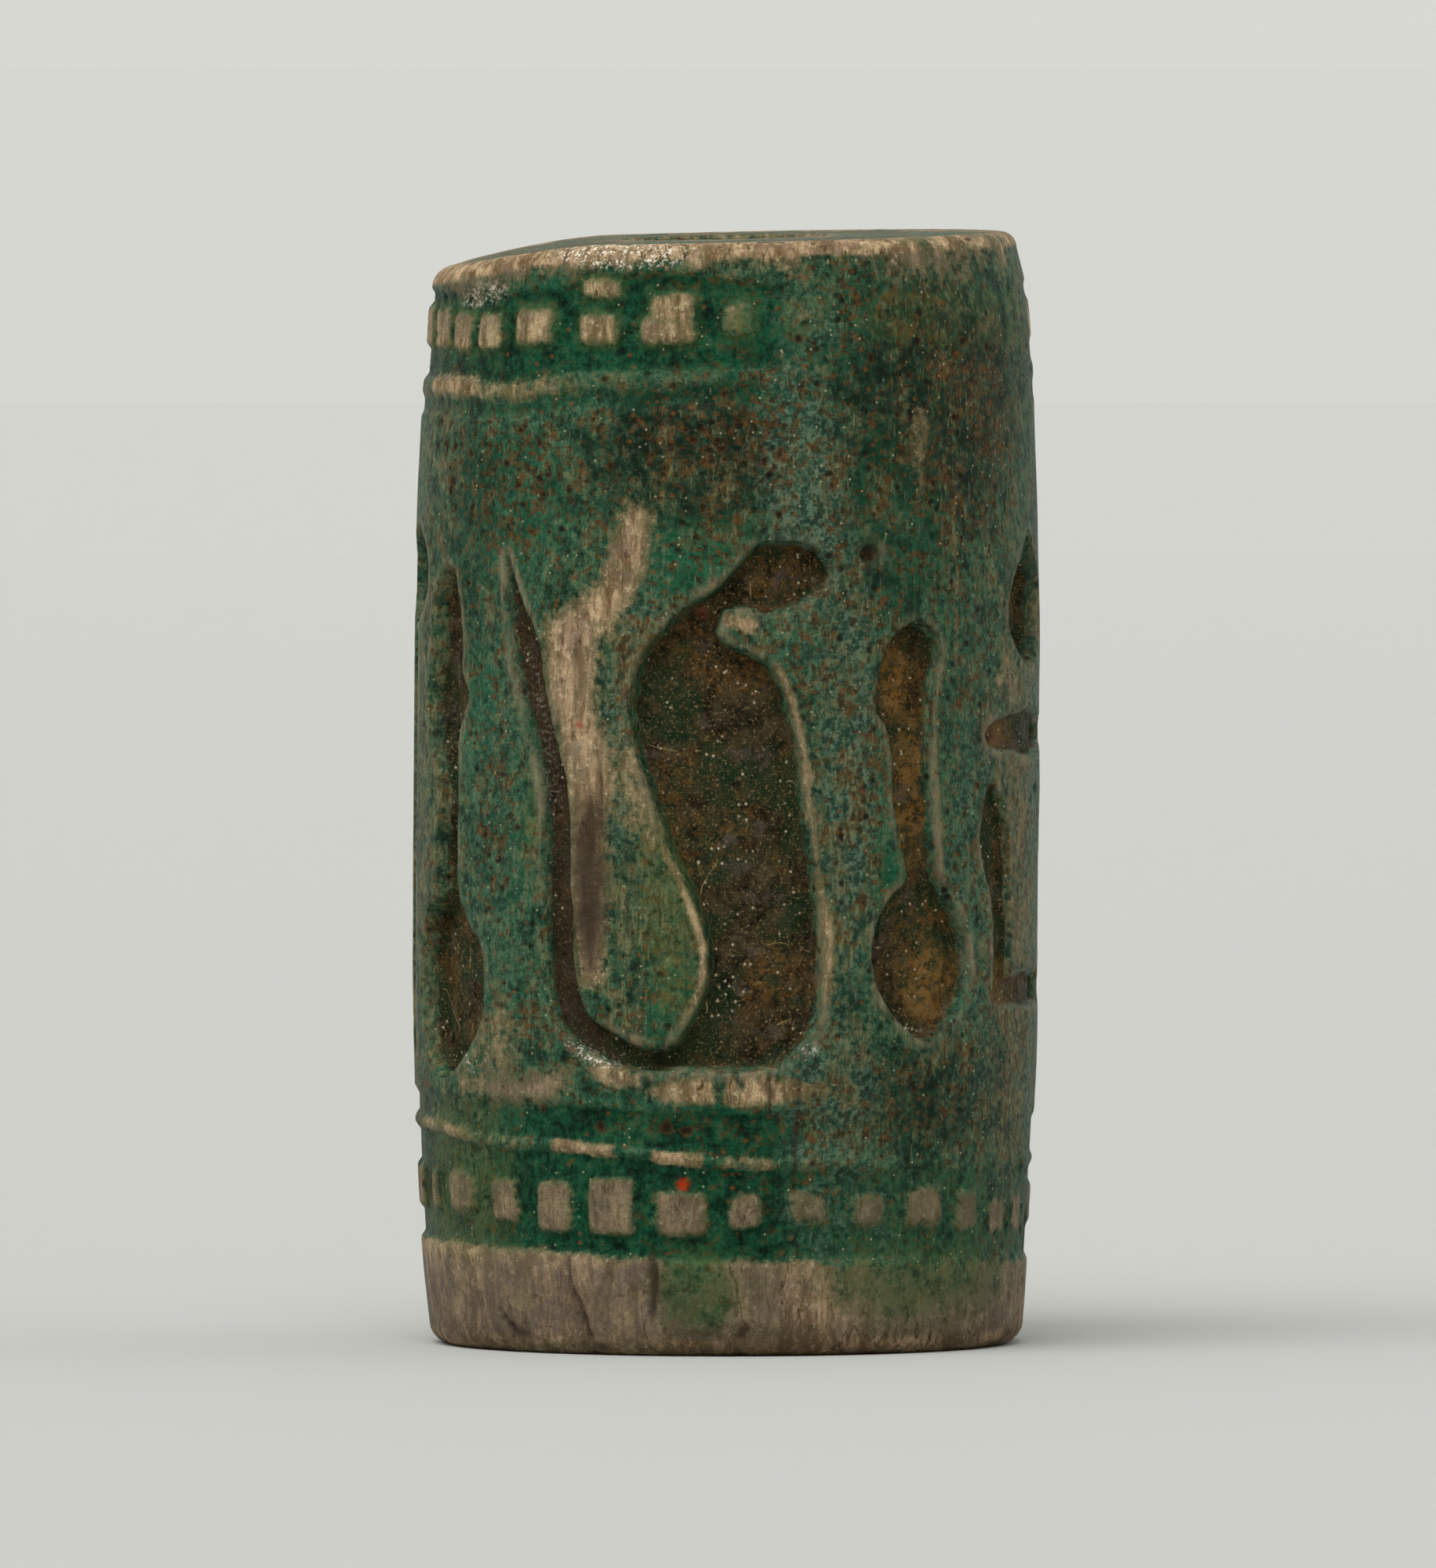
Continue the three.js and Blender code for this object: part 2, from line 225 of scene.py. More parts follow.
def between(rows):
    """An outline from rows of (height, left edge, right edge)."""
    right = [(row[2], row[0]) for row in rows]
    left = [(row[1], row[0]) for row in rows]
    return outline(right + left[::-1])


def figures():
    """Every carved form: (its form, centre, facing, depth). A facing of -1 mirrors it."""
    mirrored_arm = [(z, -right, -left) for z, left, right in FRAME_ARM]
    cobra = [
        (outline(COBRA_BODY), FIGURE_DEPTH),
        (outline(COBRA_HEAD), HEAD_DEPTH),
        (stroke(COBRA_TAIL), LINE_DEPTH),
    ]
    lute = [(between(LUTE), LUTE_DEPTH)]
    big_lute = [(between(BIG_LUTE), FIGURE_DEPTH)]
    wand = [(between(WAND_HEAD), FIGURE_DEPTH), (stroke(WAND_STEM), LINE_DEPTH)]
    looped_frame = [
        (between(DROP), FIGURE_DEPTH),
        (stroke(CROSS_BAR), FRAME_DEPTH),
        (between(FRAME_ARM), FRAME_DEPTH),
        (between(mirrored_arm), FRAME_DEPTH),
        (stroke(FRAME_FOOT), FRAME_DEPTH),
    ]
    placed = [
        (cobra, -18.2, -1),
        (lute, -11.7, 1),
        (wand, -8.3, 1),
        (big_lute, -6.2, 1),
        (cobra, 0, 1),
        ([(stroke(DOT), DOT_DEPTH)], 2.64, 1),
        (lute, 3.9, 1),
        (looped_frame, 7.4, 1),
        (lute, 12.2, 1),
    ]
    return [(form, centre, facing, depth) for parts, centre, facing in placed for form, depth in parts]


def round_to(s, centre):
    """Places measured from a centre, the short way round."""
    return (s - centre + GIRTH / 2) % GIRTH - GIRTH / 2


def carve_figures(s, z):
    """The depth of the figures, how far each place is inside the nearest one, and 1 on a floor."""
    depth = np.zeros(s.shape)
    sunk = np.zeros(s.shape)
    edge = np.full(s.shape, -1.0)
    wander = 0.025 * noise(s, z, 0.5, 0.6, 11)
    for (inside_of, line), centre, facing, deep in figures():
        local = facing * round_to(s, centre)
        margin = 0.9
        low, high = line[:, :2].min(0) - margin, line[:, :2].max(0) + margin
        near = (local > low[0]) & (local < high[0]) & (z > low[1]) & (z < high[1])
        inside = inside_of(local[near], z[near], line) + wander[near]
        edge[near] = np.maximum(edge[near], inside)
        share = smooth(-LIP_ROUNDING, WALL_RUN, inside)
        depth[near] = np.maximum(depth[near], deep * share)
        sunk[near] = np.maximum(sunk[near], share)
    return depth, edge, sunk


# The ladder borders. A cell is (left, right, bottom, top), and a line round the stone is (s, height) pairs
LOWER_CELLS = [
    (-7.2, -6.82, 2.5, 3.15), (-6.3, -5.45, 2.5, 3.15), (-4.85, -4.15, 2.35, 3.1), (-3.68, -2.98, 2.2, 3.1),
    (-2.6, -1.72, 2.15, 3.15), (-1.3, -0.35, 2.15, 2.92), (0.07, 0.65, 2.3, 2.9), (1.2, 1.9, 2.35, 2.9),
    (2.45, 3.1, 2.3, 2.85), (3.6, 4.4, 2.3, 2.95), (4.8, 5.4, 2.2, 2.85), (5.85, 6.4, 2.1, 2.7),
    (6.85, 7.3, 2.1, 2.72),
]
UPPER_CELLS = [
    (-7.5, -6.62, 17.85, 18.6), (-6.42, -5.68, 17.8, 18.52), (-5.5, -4.76, 17.85, 18.5),
    (-4.4, -3.5, 17.94, 18.55), (-2.93, -2.12, 17.94, 18.45), (-2.86, -2.1, 18.74, 19.08),
    (-1.68, -0.62, 17.94, 18.42), (-1.5, -0.62, 18.3, 18.86), (-0.1, 0.45, 18.1, 18.7),
    (1.1, 1.9, 18.25, 18.65),
]
LOWER_BAND = [(-10, 2.0), (-6, 1.92), (-2, 1.78), (0, 1.72), (4, 1.68), (8, 1.6), (17, 1.7), (24, 1.95)]
LOWER_RIDGE = [
    (-10, 4.05), (-7, 4.0), (-5, 3.78), (-3, 3.72), (-1, 3.52), (0.5, 3.42), (6, 3.33), (12, 3.35), (18, 3.6),
    (23, 3.9),
]
LOWER_FRIEZE_EDGE = [
    (-10, 4.6), (-6, 4.52), (-3.3, 4.47), (-1.4, 4.32), (0.8, 4.28), (6, 4.15), (12, 4.15), (18, 4.3),
    (23, 4.5),
]
UPPER_RIDGE = [
    (-8, 17.2), (-6.5, 17.2), (-4.8, 17.1), (-4, 17.12), (-3, 17.3), (0, 17.34), (6, 17.5), (12, 17.5),
    (18, 17.3), (23, 17.2),
]
UPPER_BAND = [
    (-8, 18.9), (-6, 18.85), (-4.5, 18.82), (-3.2, 18.85), (-2.8, 19.2), (-1, 19.15), (0.5, 19.0), (6, 19.05),
    (12, 19.0), (18, 18.95), (23, 18.9),
]
RIDGE_HALF = 0.1
CELL_CORNER = 0.14
EDGE_SOFTNESS = 0.09
LOWER_CELL_RISE = 0.55  # from the band's lower edge to the back's cells
UPPER_CELL_DROP = 0.98  # from the band's upper edge to the bottom of the back's cells
BACK_CELL_PITCH = 1.18
BACK_CELL = (0.74, 0.72)  # width and height


def back_cells(start, end, floor, seed):
    """Cells in a plain row, a little uneven."""
    count = round((end - start) / BACK_CELL_PITCH)
    dice = np.random.default_rng(seed)
    cells = []
    for i in range(count):
        middle = start + (end - start) * (i + 0.5) / count + dice.uniform(-0.07, 0.07)
        half = BACK_CELL[0] / 2 + dice.uniform(-0.07, 0.07)
        low = float(round_line(middle, floor)) + dice.uniform(-0.05, 0.05)
        cells.append((middle - half, middle + half, low, low + BACK_CELL[1]))
    return cells


def inside_cells(s, z, cells):
    """How far a place is inside the nearest cell, whose corners are a little round."""
    best = np.full(s.shape, -1.0)
    for left, right, low, high in cells:
        across = np.abs(round_to(s, (left + right) / 2)) - (right - left) / 2 + CELL_CORNER
        up = np.abs(z - (low + high) / 2) - (high - low) / 2 + CELL_CORNER
        outside = np.hypot(np.maximum(across, 0), np.maximum(up, 0))
        best = np.maximum(best, CELL_CORNER - outside - np.minimum(np.maximum(across, up), 0))
    return best


def band(value, low, high, soft):
    """1 between two edges, falling softly to 0 outside them."""
    return smooth(low - soft, low + soft, value) * (1 - smooth(high - soft, high + soft, value))


def carve_borders(s, z):
    """The depth of both borders, how far each place is inside a cell, and the share of groove."""
    wobble_s = s + 0.04 * noise(s, z, 0.9, 0.6, 21)
    wobble_z = z + 0.035 * noise(s, z, 1.6, 0.9, 22)
    turn = round_to(s, 0)
    low_floor = [(p, h + LOWER_CELL_RISE) for p, h in LOWER_BAND]
    high_floor = [(p, h - UPPER_CELL_DROP) for p, h in UPPER_BAND]
    lower = LOWER_CELLS + back_cells(7.7, GIRTH - 7.6, low_floor, 31)
    upper = UPPER_CELLS + back_cells(2.6, 7.6, high_floor, 33) + back_cells(7.9, GIRTH - 7.6, high_floor, 32)
    cells = np.maximum(inside_cells(wobble_s, wobble_z, lower), inside_cells(wobble_s, wobble_z, upper))
    block = smooth(-0.1, 0.08, cells)

    ridge = round_line(s, LOWER_RIDGE)
    rails = band(wobble_z, round_line(s, LOWER_BAND), ridge - RIDGE_HALF, EDGE_SOFTNESS) * (1 - block)
    frieze_edge = round_line(s, LOWER_FRIEZE_EDGE)
    outer = band(wobble_z, ridge + RIDGE_HALF, frieze_edge, EDGE_SOFTNESS)
    outer *= 1 - 0.55 * band(turn, 1.3, 7, 0.6)
    groove = np.maximum(rails, 0.85 * outer)

    ridge = round_line(s, UPPER_RIDGE)
    rails = band(wobble_z, ridge + 0.15, round_line(s, UPPER_BAND), EDGE_SOFTNESS) * (1 - block)
    outer = 0.5 * band(wobble_z, ridge - 0.5, ridge - 0.17, EDGE_SOFTNESS)
    worn = 1 - 0.85 * band(turn, 0.9, 8.5, 0.8)
    groove = np.maximum(groove, np.maximum(rails, outer) * worn)
    worn_side = 1 - 0.7 * band(turn, 4.5, 8.6, 0.8)
    return BORDER_DEPTH * groove * worn_side, cells, groove


def patch(s, z, centre, size, lean=0.0):
    """1 in the middle of a soft oval, and 0.5 at its edge. lean slants it, in mm across for each mm up."""
    up = z - centre[1]
    across = round_to(s, centre[0]) - lean * up
    reach = np.hypot(across / size[0], up / size[1])
    return 1 - smooth(0.55, 1.45, reach)


def streak(s, z, points, soft):
    """1 along the middle of a stroke, and 0.5 at its edge."""
    line = spline(points, closed=False)
    return smooth(-soft, soft, stroke_inside(round_to(s, 0), z, line))


def many(marks):
    """The strongest of several marks."""
    return np.maximum.reduce(marks)


def marks(s, z, rows):
    """The strongest of several marks. A row is (strength, centre, size) and maybe a lean for a soft oval,
    or (strength, points, softness) for a streak.
    """
    found = []
    for strength, *shape in rows:
        draw = streak if isinstance(shape[0], list) else patch
        found.append(strength * draw(s, z, *shape))
    return many(found)


UNSEEN_START = 7.5  # how far round from the front the unseen part starts


def unseen(s, z, strength, across, up, seed):
    """Clouds of the given size in mm over the part that the photo doesn't show."""
    return strength * (1 + noise(s, z, across, up, seed)) * (np.abs(round_to(s, 0)) > UNSEEN_START)


# Streaks, as strokes on the wall
BARE_STREAK = [
    (-1.66, 14.85, 0.22), (-1.85, 14.1, 0.34), (-2.1, 13.5, 0.3), (-2.5, 13.1, 0.38), (-2.9, 12.7, 0.5),
    (-2.9, 12.1, 0.48), (-2.85, 11.6, 0.42), (-2.72, 11.05, 0.4), (-2.55, 10.6, 0.45), (-2.5, 10.1, 0.45),
    (-2.52, 9.5, 0.32), (-2.54, 9.0, 0.3), (-2.54, 8.0, 0.3), (-2.5, 6.8, 0.2),
]
GRIMY_STREAK = [
    (-2.5, 9.9, 0.1), (-2.52, 9.5, 0.26), (-2.55, 8.9, 0.32), (-2.54, 8.0, 0.32), (-2.52, 7.4, 0.26),
    (-2.5, 6.9, 0.12),
]
PALE_FOOT = [(-5.55, 4.78, 0.1), (-4.6, 4.72, 0.16), (-3.5, 4.75, 0.2), (-3.1, 4.95, 0.14)]
MINT_RIDGE = [(-5.4, 17.1, 0.15), (-4.3, 17.1, 0.18), (-3.4, 17.2, 0.15)]
GREEN_NOTCHES = [
    (1, [(-0.1, 4.5, 0.08), (-0.12, 5.0, 0.14)], 0.06),
    (1, [(0.3, 4.75, 0.04), (0.25, 5.0, 0.08)], 0.06),
]
CRACKS = [
    [(-1.4, 0.6, 0.03), (-1.36, 1.0, 0.07), (-1.33, 1.4, 0.1), (-1.38, 1.85, 0.05)],
    [(0.2, 0.15, 0.12), (0.35, 0.5, 0.1)],
    [(-3.05, 1.75, 0.02), (-3.0, 1.2, 0.04), (-2.84, 0.92, 0.06), (-2.72, 0.55, 0.06), (-2.58, 0.1, 0.07)],
    [(-4.8, 0.75, 0.04), (-4.4, 0.42, 0.1), (-3.95, 0.22, 0.14), (-3.4, 0.12, 0.08)],
    [(0.8, 4.3, 0.03), (0.82, 4.7, 0.05), (0.8, 5.0, 0.02)],
    [(1.34, 4.9, 0.01), (1.33, 4.2, 0.04), (1.28, 3.5, 0.03), (1.3, 2.9, 0.01)],
    [(-2.3, 11.2, 0.01), (-2.33, 10.6, 0.03), (-2.28, 9.9, 0.04), (-2.3, 9.3, 0.03)],
    [(-2.85, 12.6, 0.01), (-2.8, 12.0, 0.02), (-2.82, 11.3, 0.01)],
]
CRACK_SOFTNESS = 0.05
CRACK_DEPTH = 0.05

# Where bare stone shows, everywhere and on uncarved places alone
BARE_MARKS = [
    (1, BARE_STREAK, 0.4),
    (0.85, PALE_FOOT, 0.38),
    (0.5, MINT_RIDGE, 0.14),
    (0.82, [(-7.3, 17.2, 0.18), (-6.2, 17.2, 0.19), (-5.3, 17.12, 0.16)], 0.2),
    (0.75, [(-2.55, 5.1, 0.05), (-2.1, 5.0, 0.2), (-1.6, 4.85, 0.1)], 0.14),
    (0.75, [(0.0, 13.05, 0.1), (0.4, 12.95, 0.16)], 0.08),
    (0.5, [(0.95, 17.9, 0.01), (1.02, 17.6, 0.03), (1.1, 17.35, 0.01)], 0.06),
    (0.45, [(4.55, 14.6, 0.03), (4.6, 13.4, 0.06), (4.55, 12.0, 0.04)], 0.1),
    (0.4, (3.75, 16.3), (0.2, 0.8)),
]
UNCARVED_MARKS = [
    (0.55, [(-1.8, 10.7, 0.2), (-1.6, 9.9, 0.3), (-1.3, 9.2, 0.25)], 0.4),
    (0.42, (-4.6, 5.5), (0.7, 0.7)),
    (0.3, (6.6, 8.5), (0.8, 3.5)),
    (0.45, (6.2, 11.9), (0.5, 0.5)),
    (0.6, (17.5, 8.0), (0.6, 3.2), 0.1),
    (0.7, (-14.0, 14.9), (1.3, 0.6), 0.6),
]
LUTE_EDGE = [(4.12, 11.5, 0.02), (4.13, 10.4, 0.05), (4.2, 8.8, 0.04)]

# Where each other finish lies
MARKS = {
    "worn": [
        (0.7, (-1.2, 9.5), (1.2, 4.0), -0.05), (0.8, (6.6, 8.0), (1.0, 5.5)),
        (0.55, (-7.0, 12.0), (0.9, 7.0)), (0.5, (2.2, 9.0), (0.6, 4.0)), (0.2, (-4.3, 8.0), (0.8, 4.5)),
        (0.5, (-3.4, 17.2), (2.2, 0.2)), (0.6, (-5.8, 3.0), (1.8, 1.6)),
    ],
    "bloom": [
        (1, (1.4, 15.2), (0.75, 2.6), -0.12), (0.95, (2.2, 10.4), (0.55, 3.6)),
        (0.8, (1.9, 4.6), (0.9, 1.6)), (0.6, (2.2, 2.6), (1.2, 1.2)), (0.8, (-1.75, 11.4), (0.5, 2.4), 0.1),
        (0.3, (-4.6, 9.0), (0.7, 4.0)), (0.5, (5.4, 8.5), (1.0, 4.5)), (0.9, (7.2, 8.5), (1.0, 4.5)),
        (0.7, (1.3, 18.3), (0.8, 0.5)), (0.8, (0.2, 18.3), (0.35, 0.3)),
        (0.5, [(-3.6, 17.2, 0.12), (-2.0, 17.3, 0.15), (-0.3, 17.35, 0.12)], 0.15), (0.9, MINT_RIDGE, 0.14),
    ],
    "rust": [
        (1, (-0.3, 16.3), (1.8, 0.9)), (1, (-4.6, 15.3), (1.4, 1.3)), (0.9, (4.6, 16.5), (2.4, 2.4)),
        (0.7, (3.4, 18.2), (2.4, 1.0)), (0.95, (-4.7, 9.8), (0.6, 2.2)), (0.8, (2.5, 9.6), (0.45, 2.6)),
        (0.6, (5.0, 12.5), (0.8, 2.0)), (0.6, (3.4, 4.0), (2.4, 1.2)), (0.5, (-1.9, 16.0), (2.0, 1.2)),
    ],
    "dim": [
        (1, (-0.6, 16.0), (1.9, 1.3)), (0.9, (4.4, 17.0), (2.6, 2.0)), (0.5, (2.6, 16.0), (2.6, 2.6)),
        (0.8, (4.2, 4.6), (2.8, 1.0)), (0.5, (-5.6, 14.6), (0.8, 2.2)),
    ],
    "emerald": [
        (0.9, (-2.5, 18.0), (5.5, 1.2)), (0.9, (0.6, 17.6), (1.4, 1.2)), (0.8, (3.3, 15.4), (1.0, 1.8)),
        (0.9, (-0.9, 14.2), (1.3, 0.8), 0.8), (0.95, (-5.0, 11.3), (0.5, 1.0)),
        (0.6, (-4.4, 9.0), (0.7, 2.6)), (0.6, (-4.6, 6.5), (0.9, 1.7)), (0.7, (-1.0, 6.2), (0.6, 0.8)),
        (0.6, (3.1, 8.6), (0.5, 1.3)), (0.7, (-5.0, 15.0), (2.0, 1.5)), (0.6, (-0.6, 1.1), (0.6, 0.7)),
    ],
    "ochre": [
        (1, (4.3, 6.5), (0.7, 0.7)), (1, (3.4, 11.9), (0.4, 0.6)), (0.9, (3.8, 10), (0.4, 1.4)),
        (0.5, (-4.7, 18.3), (0.6, 0.4)), (0.6, (5.8, 11.1), (0.9, 0.5)), (0.6, (6.2, 6.4), (0.9, 0.5)),
    ],
    "olive": [
        (0.75, (-0.55, 1.2), (0.8, 0.7)), (0.6, (4.0, 1.3), (2.2, 0.6)),
        (0.6, (-1.0, 7.6), (0.5, 1.8), -0.1), (0.6, (-3.75, 9.6), (0.15, 0.5)),
        (0.5, (-6.0, 3.0), (1.6, 1.6)), (0.8, (0.2, 18.3), (0.35, 0.3)),
        (0.25, [(-3.6, 17.2, 0.14), (-2.0, 17.3, 0.17), (-0.3, 17.35, 0.12)], 0.15),
        (0.3, MINT_RIDGE, 0.14),
    ],
    "grime": [
        (1, GRIMY_STREAK, 0.25), (1, (2.64, 14.2), (0.17, 0.17)), (0.35, (5.35, 10.95), (0.35, 0.3)),
    ],
    "dull": [
        (0.25, (-2.8, 11.5), (0.6, 1.7)), (0.7, (-3.9, 4.7), (1.6, 0.5)), (0.8, (-6.2, 19.0), (2.4, 0.9)),
    ],
    "ember": [
        (1, (-0.78, 3.06), (0.1, 0.1)), (0.2, (-0.48, 13.18), (0.1, 0.1)),
        (0.8, (-6.35, 11.05), (0.07, 0.07)), (0.6, (-2.75, 11.2), (0.07, 0.07)),
    ],
    "shine": [
        (1, (-2.0, 19.5), (1.2, 0.22)), (0.6, (-5.5, 18.8), (0.7, 0.2), 1.5),
        (0.7, (3.8, 5.75), (0.3, 0.07)), (0.6, (1.55, 5.45), (0.2, 0.07)),
        (0.8, [(-2.95, 5.55, 0.04), (-2.5, 5.3, 0.08), (-2.0, 5.1, 0.04)], 0.1),
        (0.22, [(-4.1, 12.6, 0.06), (-3.6, 11.0, 0.06), (-3.35, 9.6, 0.05)], 0.12),
        (0.7, [(-5.75, 5.8, 0.03), (-5.55, 5.3, 0.08), (-5.3, 5.0, 0.04)], 0.1),
    ],
}

# Clusters of small round pits: (centre, reach, how many). A lone pit is (s, z, radius)
PIT_CLUSTERS = [
    ((-5.0, 15.6), (1.3, 1.0), 40), ((-1.9, 16.0), (0.9, 0.7), 10), ((-0.3, 16.3), (1.2, 0.6), 20),
    ((3.6, 17.2), (1.2, 0.9), 16), ((-4.9, 18.4), (0.5, 0.4), 4), ((-4.6, 9.6), (0.4, 1.5), 12),
    ((15.0, 9.0), (6.0, 5.0), 60),
]
LONE_PITS = [(-1.09, 4.08, 0.13), (-0.7, 4.03, 0.1), (-2.35, 4.05, 0.08), (-3.55, 4.4, 0.07)]
PIT_RADIUS = (0.04, 0.085)
PIT_DEPTH = 0.04
POCK_DEPTH = 0.05


def pits(s, z):
    """1 in the middle of each pit, falling to 0 at its edge."""
    dice = np.random.default_rng(71)
    best = np.zeros(s.shape)
    ragged = 0.05 * noise(s, z, 0.14, 0.14, 68)
    for centre, reach, count in PIT_CLUSTERS:
        for _ in range(count):
            across, up = dice.normal(centre, reach)
            radius = dice.uniform(*PIT_RADIUS)
            gap = np.hypot(round_to(s, across), z - up)
            best = np.maximum(best, 1 - smooth(0.5 * radius, 1.5 * radius, gap))
    for across, up, radius in LONE_PITS:
        gap = np.hypot(round_to(s, across), z - up) + ragged
        best = np.maximum(best, 1 - smooth(0.4 * radius, 1.6 * radius, gap))
    return best


def carving_edges(s, z, turn, edge, floor):
    """Dirty floors, painted shade on walls away from the light, and pale worn lips with a painted highlight
    on the lit side.
    """
    into = surface_gradient(edge)
    in_shade = smooth(-0.1, 0.6, into[0] * 0.8 - into[1] * 0.6)
    # Painted shade: on the front figures, walls facing away from the light get dark green, and the floor dirt
    # is held back beside them
    painted_shade = in_shade * band(turn, -2.1, 5.4, 0.3)
    sunk = smooth(0.3, 0.9, floor - 0.6 * painted_shade * (1 - smooth(0.03, 0.1, edge)))
    shaded_wall = band(edge, 0.0, 0.08, 0.04) * painted_shade
    # Painted highlight: the pale lips are stronger where they face the light
    lip_strength = np.clip(0.4 + 0.8 * noise(s, z, 1.3, 1.3, 42) + 0.35 * (1 - in_shade), 0, 1)
    return sunk, shaded_wall, band(edge, -0.14, 0.01, 0.05) * lip_strength


def bare_rim(s, z, turn):
    """The bare stone of the upper rim, which runs down in drips."""
    below_top = z - end_height(s, z)
    depth = 0.3 + 0.2 * noise(s, z, 0.24, 9, 43) + 0.18 * noise(s, z, 1.3, 9, 44)
    depth = depth + 0.3 * patch(s, z, (-5.0, 19.2), (1.8, 0.9)) + 0.04 * patch(s, z, (-1.5, 19.6), (1.8, 0.9))
    depth = depth - 0.12 * band(turn, 1.2, 8, 0.8)
    rim = smooth(-0.3, 0.3, below_top + depth) * (1 - 0.4 * band(turn, 0.8, 9, 0.8))

    drips = 0.5 + 0.5 * noise(s, z, 0.3, 9, 61)
    between_drips = (1 - drips) * band(turn, -8, -3.2, 0.5) * (1 - smooth(-0.2, 0.05, below_top))
    right_drips = 0.68 + 0.35 * noise(s, z, 0.3, 9, 66)
    rim = many([
        rim * (1 - 0.8 * between_drips),
        drips * smooth(-0.5, 0.4, below_top + 0.5) * band(turn, -0.7, 2.9, 0.4),
        right_drips * smooth(-1.0, 0.2, below_top + 0.2) * band(turn, 2.9, 7.6, 0.5),
    ])
    return rim * np.clip(0.85 + 0.45 * noise(s, z, 0.4, 0.6, 57), 0, 1)


def bare_foot(s, z, turn):
    """The bare stone below the lower border, with some glaze left on it."""
    border = round_line(s, LOWER_BAND) - 0.02 + 0.05 * noise(s, z, 0.5, 9, 45)
    foot = (0.8 + 0.12 * noise(s, z, 0.7, 1.6, 58)) * (1 - smooth(-0.12, 0.12, z - border))
    foot = foot - 0.4 * patch(s, z, (-0.65, 1.1), (0.75, 0.9)) - 0.25 * patch(s, z, (4.0, 1.2), (2.2, 0.9))
    foot = foot - 0.2 * band(turn, 0.4, 8, 0.4) * smooth(0.6, 1.6, z)
    return foot + 0.25 * patch(s, z, (1.5, 1.2), (0.5, 0.8))


def bare_cells(z, turn, cells):
    """The bare stone of the borders' cells, which is less on the right of both borders."""
    block = smooth(-0.12, 0.16, cells)
    block = block * (1 - 0.8 * band(turn, 0.1, 7.6, 0.35) * (z > BELLY_HEIGHT))
    return block * (1 - 0.25 * band(turn, 1.0, 5.6, 0.3) * (z < BELLY_HEIGHT))


def bare_ridge(s, z, turn):
    """The bare crest of the lower border's ridge."""
    worn = many([
        np.clip(0.55 + 0.6 * noise(s, z, 0.45, 9, 60), 0, 1) * band(turn, -7.6, -3.6, 0.2),
        band(turn, -3.35, -2.0, 0.15) + 0.3 * noise(s, z, 0.3, 9, 67),
        band(turn, -1.35, -0.4, 0.15),
        0.5 * band(turn, -0.1, 1.0, 0.15),
    ])
    return band(z - round_line(s, LOWER_RIDGE), -0.12, 0.12, 0.06) * worn


def bare_stone(s, z, turn, edge, cells):
    """How much bare stone shows."""
    cobra_side = band(turn, 0.9, 2.5, 0.15) * band(z, 5.6, 12.6, 0.4)
    tail_side = band(turn, -1.3, -0.2, 0.1) * band(z, 6.0, 9.2, 0.4)
    bare = many([
        marks(s, z, BARE_MARKS),
        marks(s, z, UNCARVED_MARKS) * (edge < 0.01),
        bare_rim(s, z, turn),
        bare_foot(s, z, turn),
        0.85 * bare_cells(z, turn, cells),
        0.85 * bare_ridge(s, z, turn),
        0.85 * patch(s, z, (0.1, 4.72), (1.5, 0.27)) * (z > 4.3),
        0.45 * streak(s, z, LUTE_EDGE, 0.1) * (edge < 0.02),
        0.68 * band(edge, -0.15 - 0.08 * noise(s, z, 9, 0.7, 56), -0.02, 0.08) * cobra_side,
        0.85 * band(edge, -0.17, -0.02, 0.07) * tail_side,
    ])
    return bare * (1 - marks(s, z, GREEN_NOTCHES))


def grime(s, z, turn, edge, cells):
    """Dirt in the cobra's tail and the cracks and on the lower cells, and darker towards the foot."""
    return many([
        *(streak(s, z, points, CRACK_SOFTNESS) for points in CRACKS),
        0.72 * smooth(0.0, 0.12, edge) * band(turn, -4.7, -2.3, 0.2),
        0.2 * smooth(-0.1, 0.1, cells) * (z < BELLY_HEIGHT),
        # Darker towards the foot and the lower rim
        (0.25 + 0.2 * noise(s, z, 0.8, 0.9, 59)) * (1 - smooth(0.9, 1.9, z)),
        (1 - smooth(0.1, 0.9, z)) * (0.6 + 0.4 * noise(s, z, 0.7, 0.5, 62)),
    ])


def dulled(s, z, turn, cells):
    """Greyer stone on the foot, the lower cells and the right of the upper rim."""
    foot = 0.8 + 0.3 * noise(s, z, 1.1, 1.4, 64) - 0.5 * patch(s, z, (1.5, 1.1), (0.6, 0.8))
    return many([
        (1 - smooth(1.4, 2.1, z)) * foot,
        0.7 * smooth(-0.1, 0.1, cells) * (z < BELLY_HEIGHT),
        0.5 * band(turn, 1.5, 8.5, 0.6) * (z > 18.8),
    ])


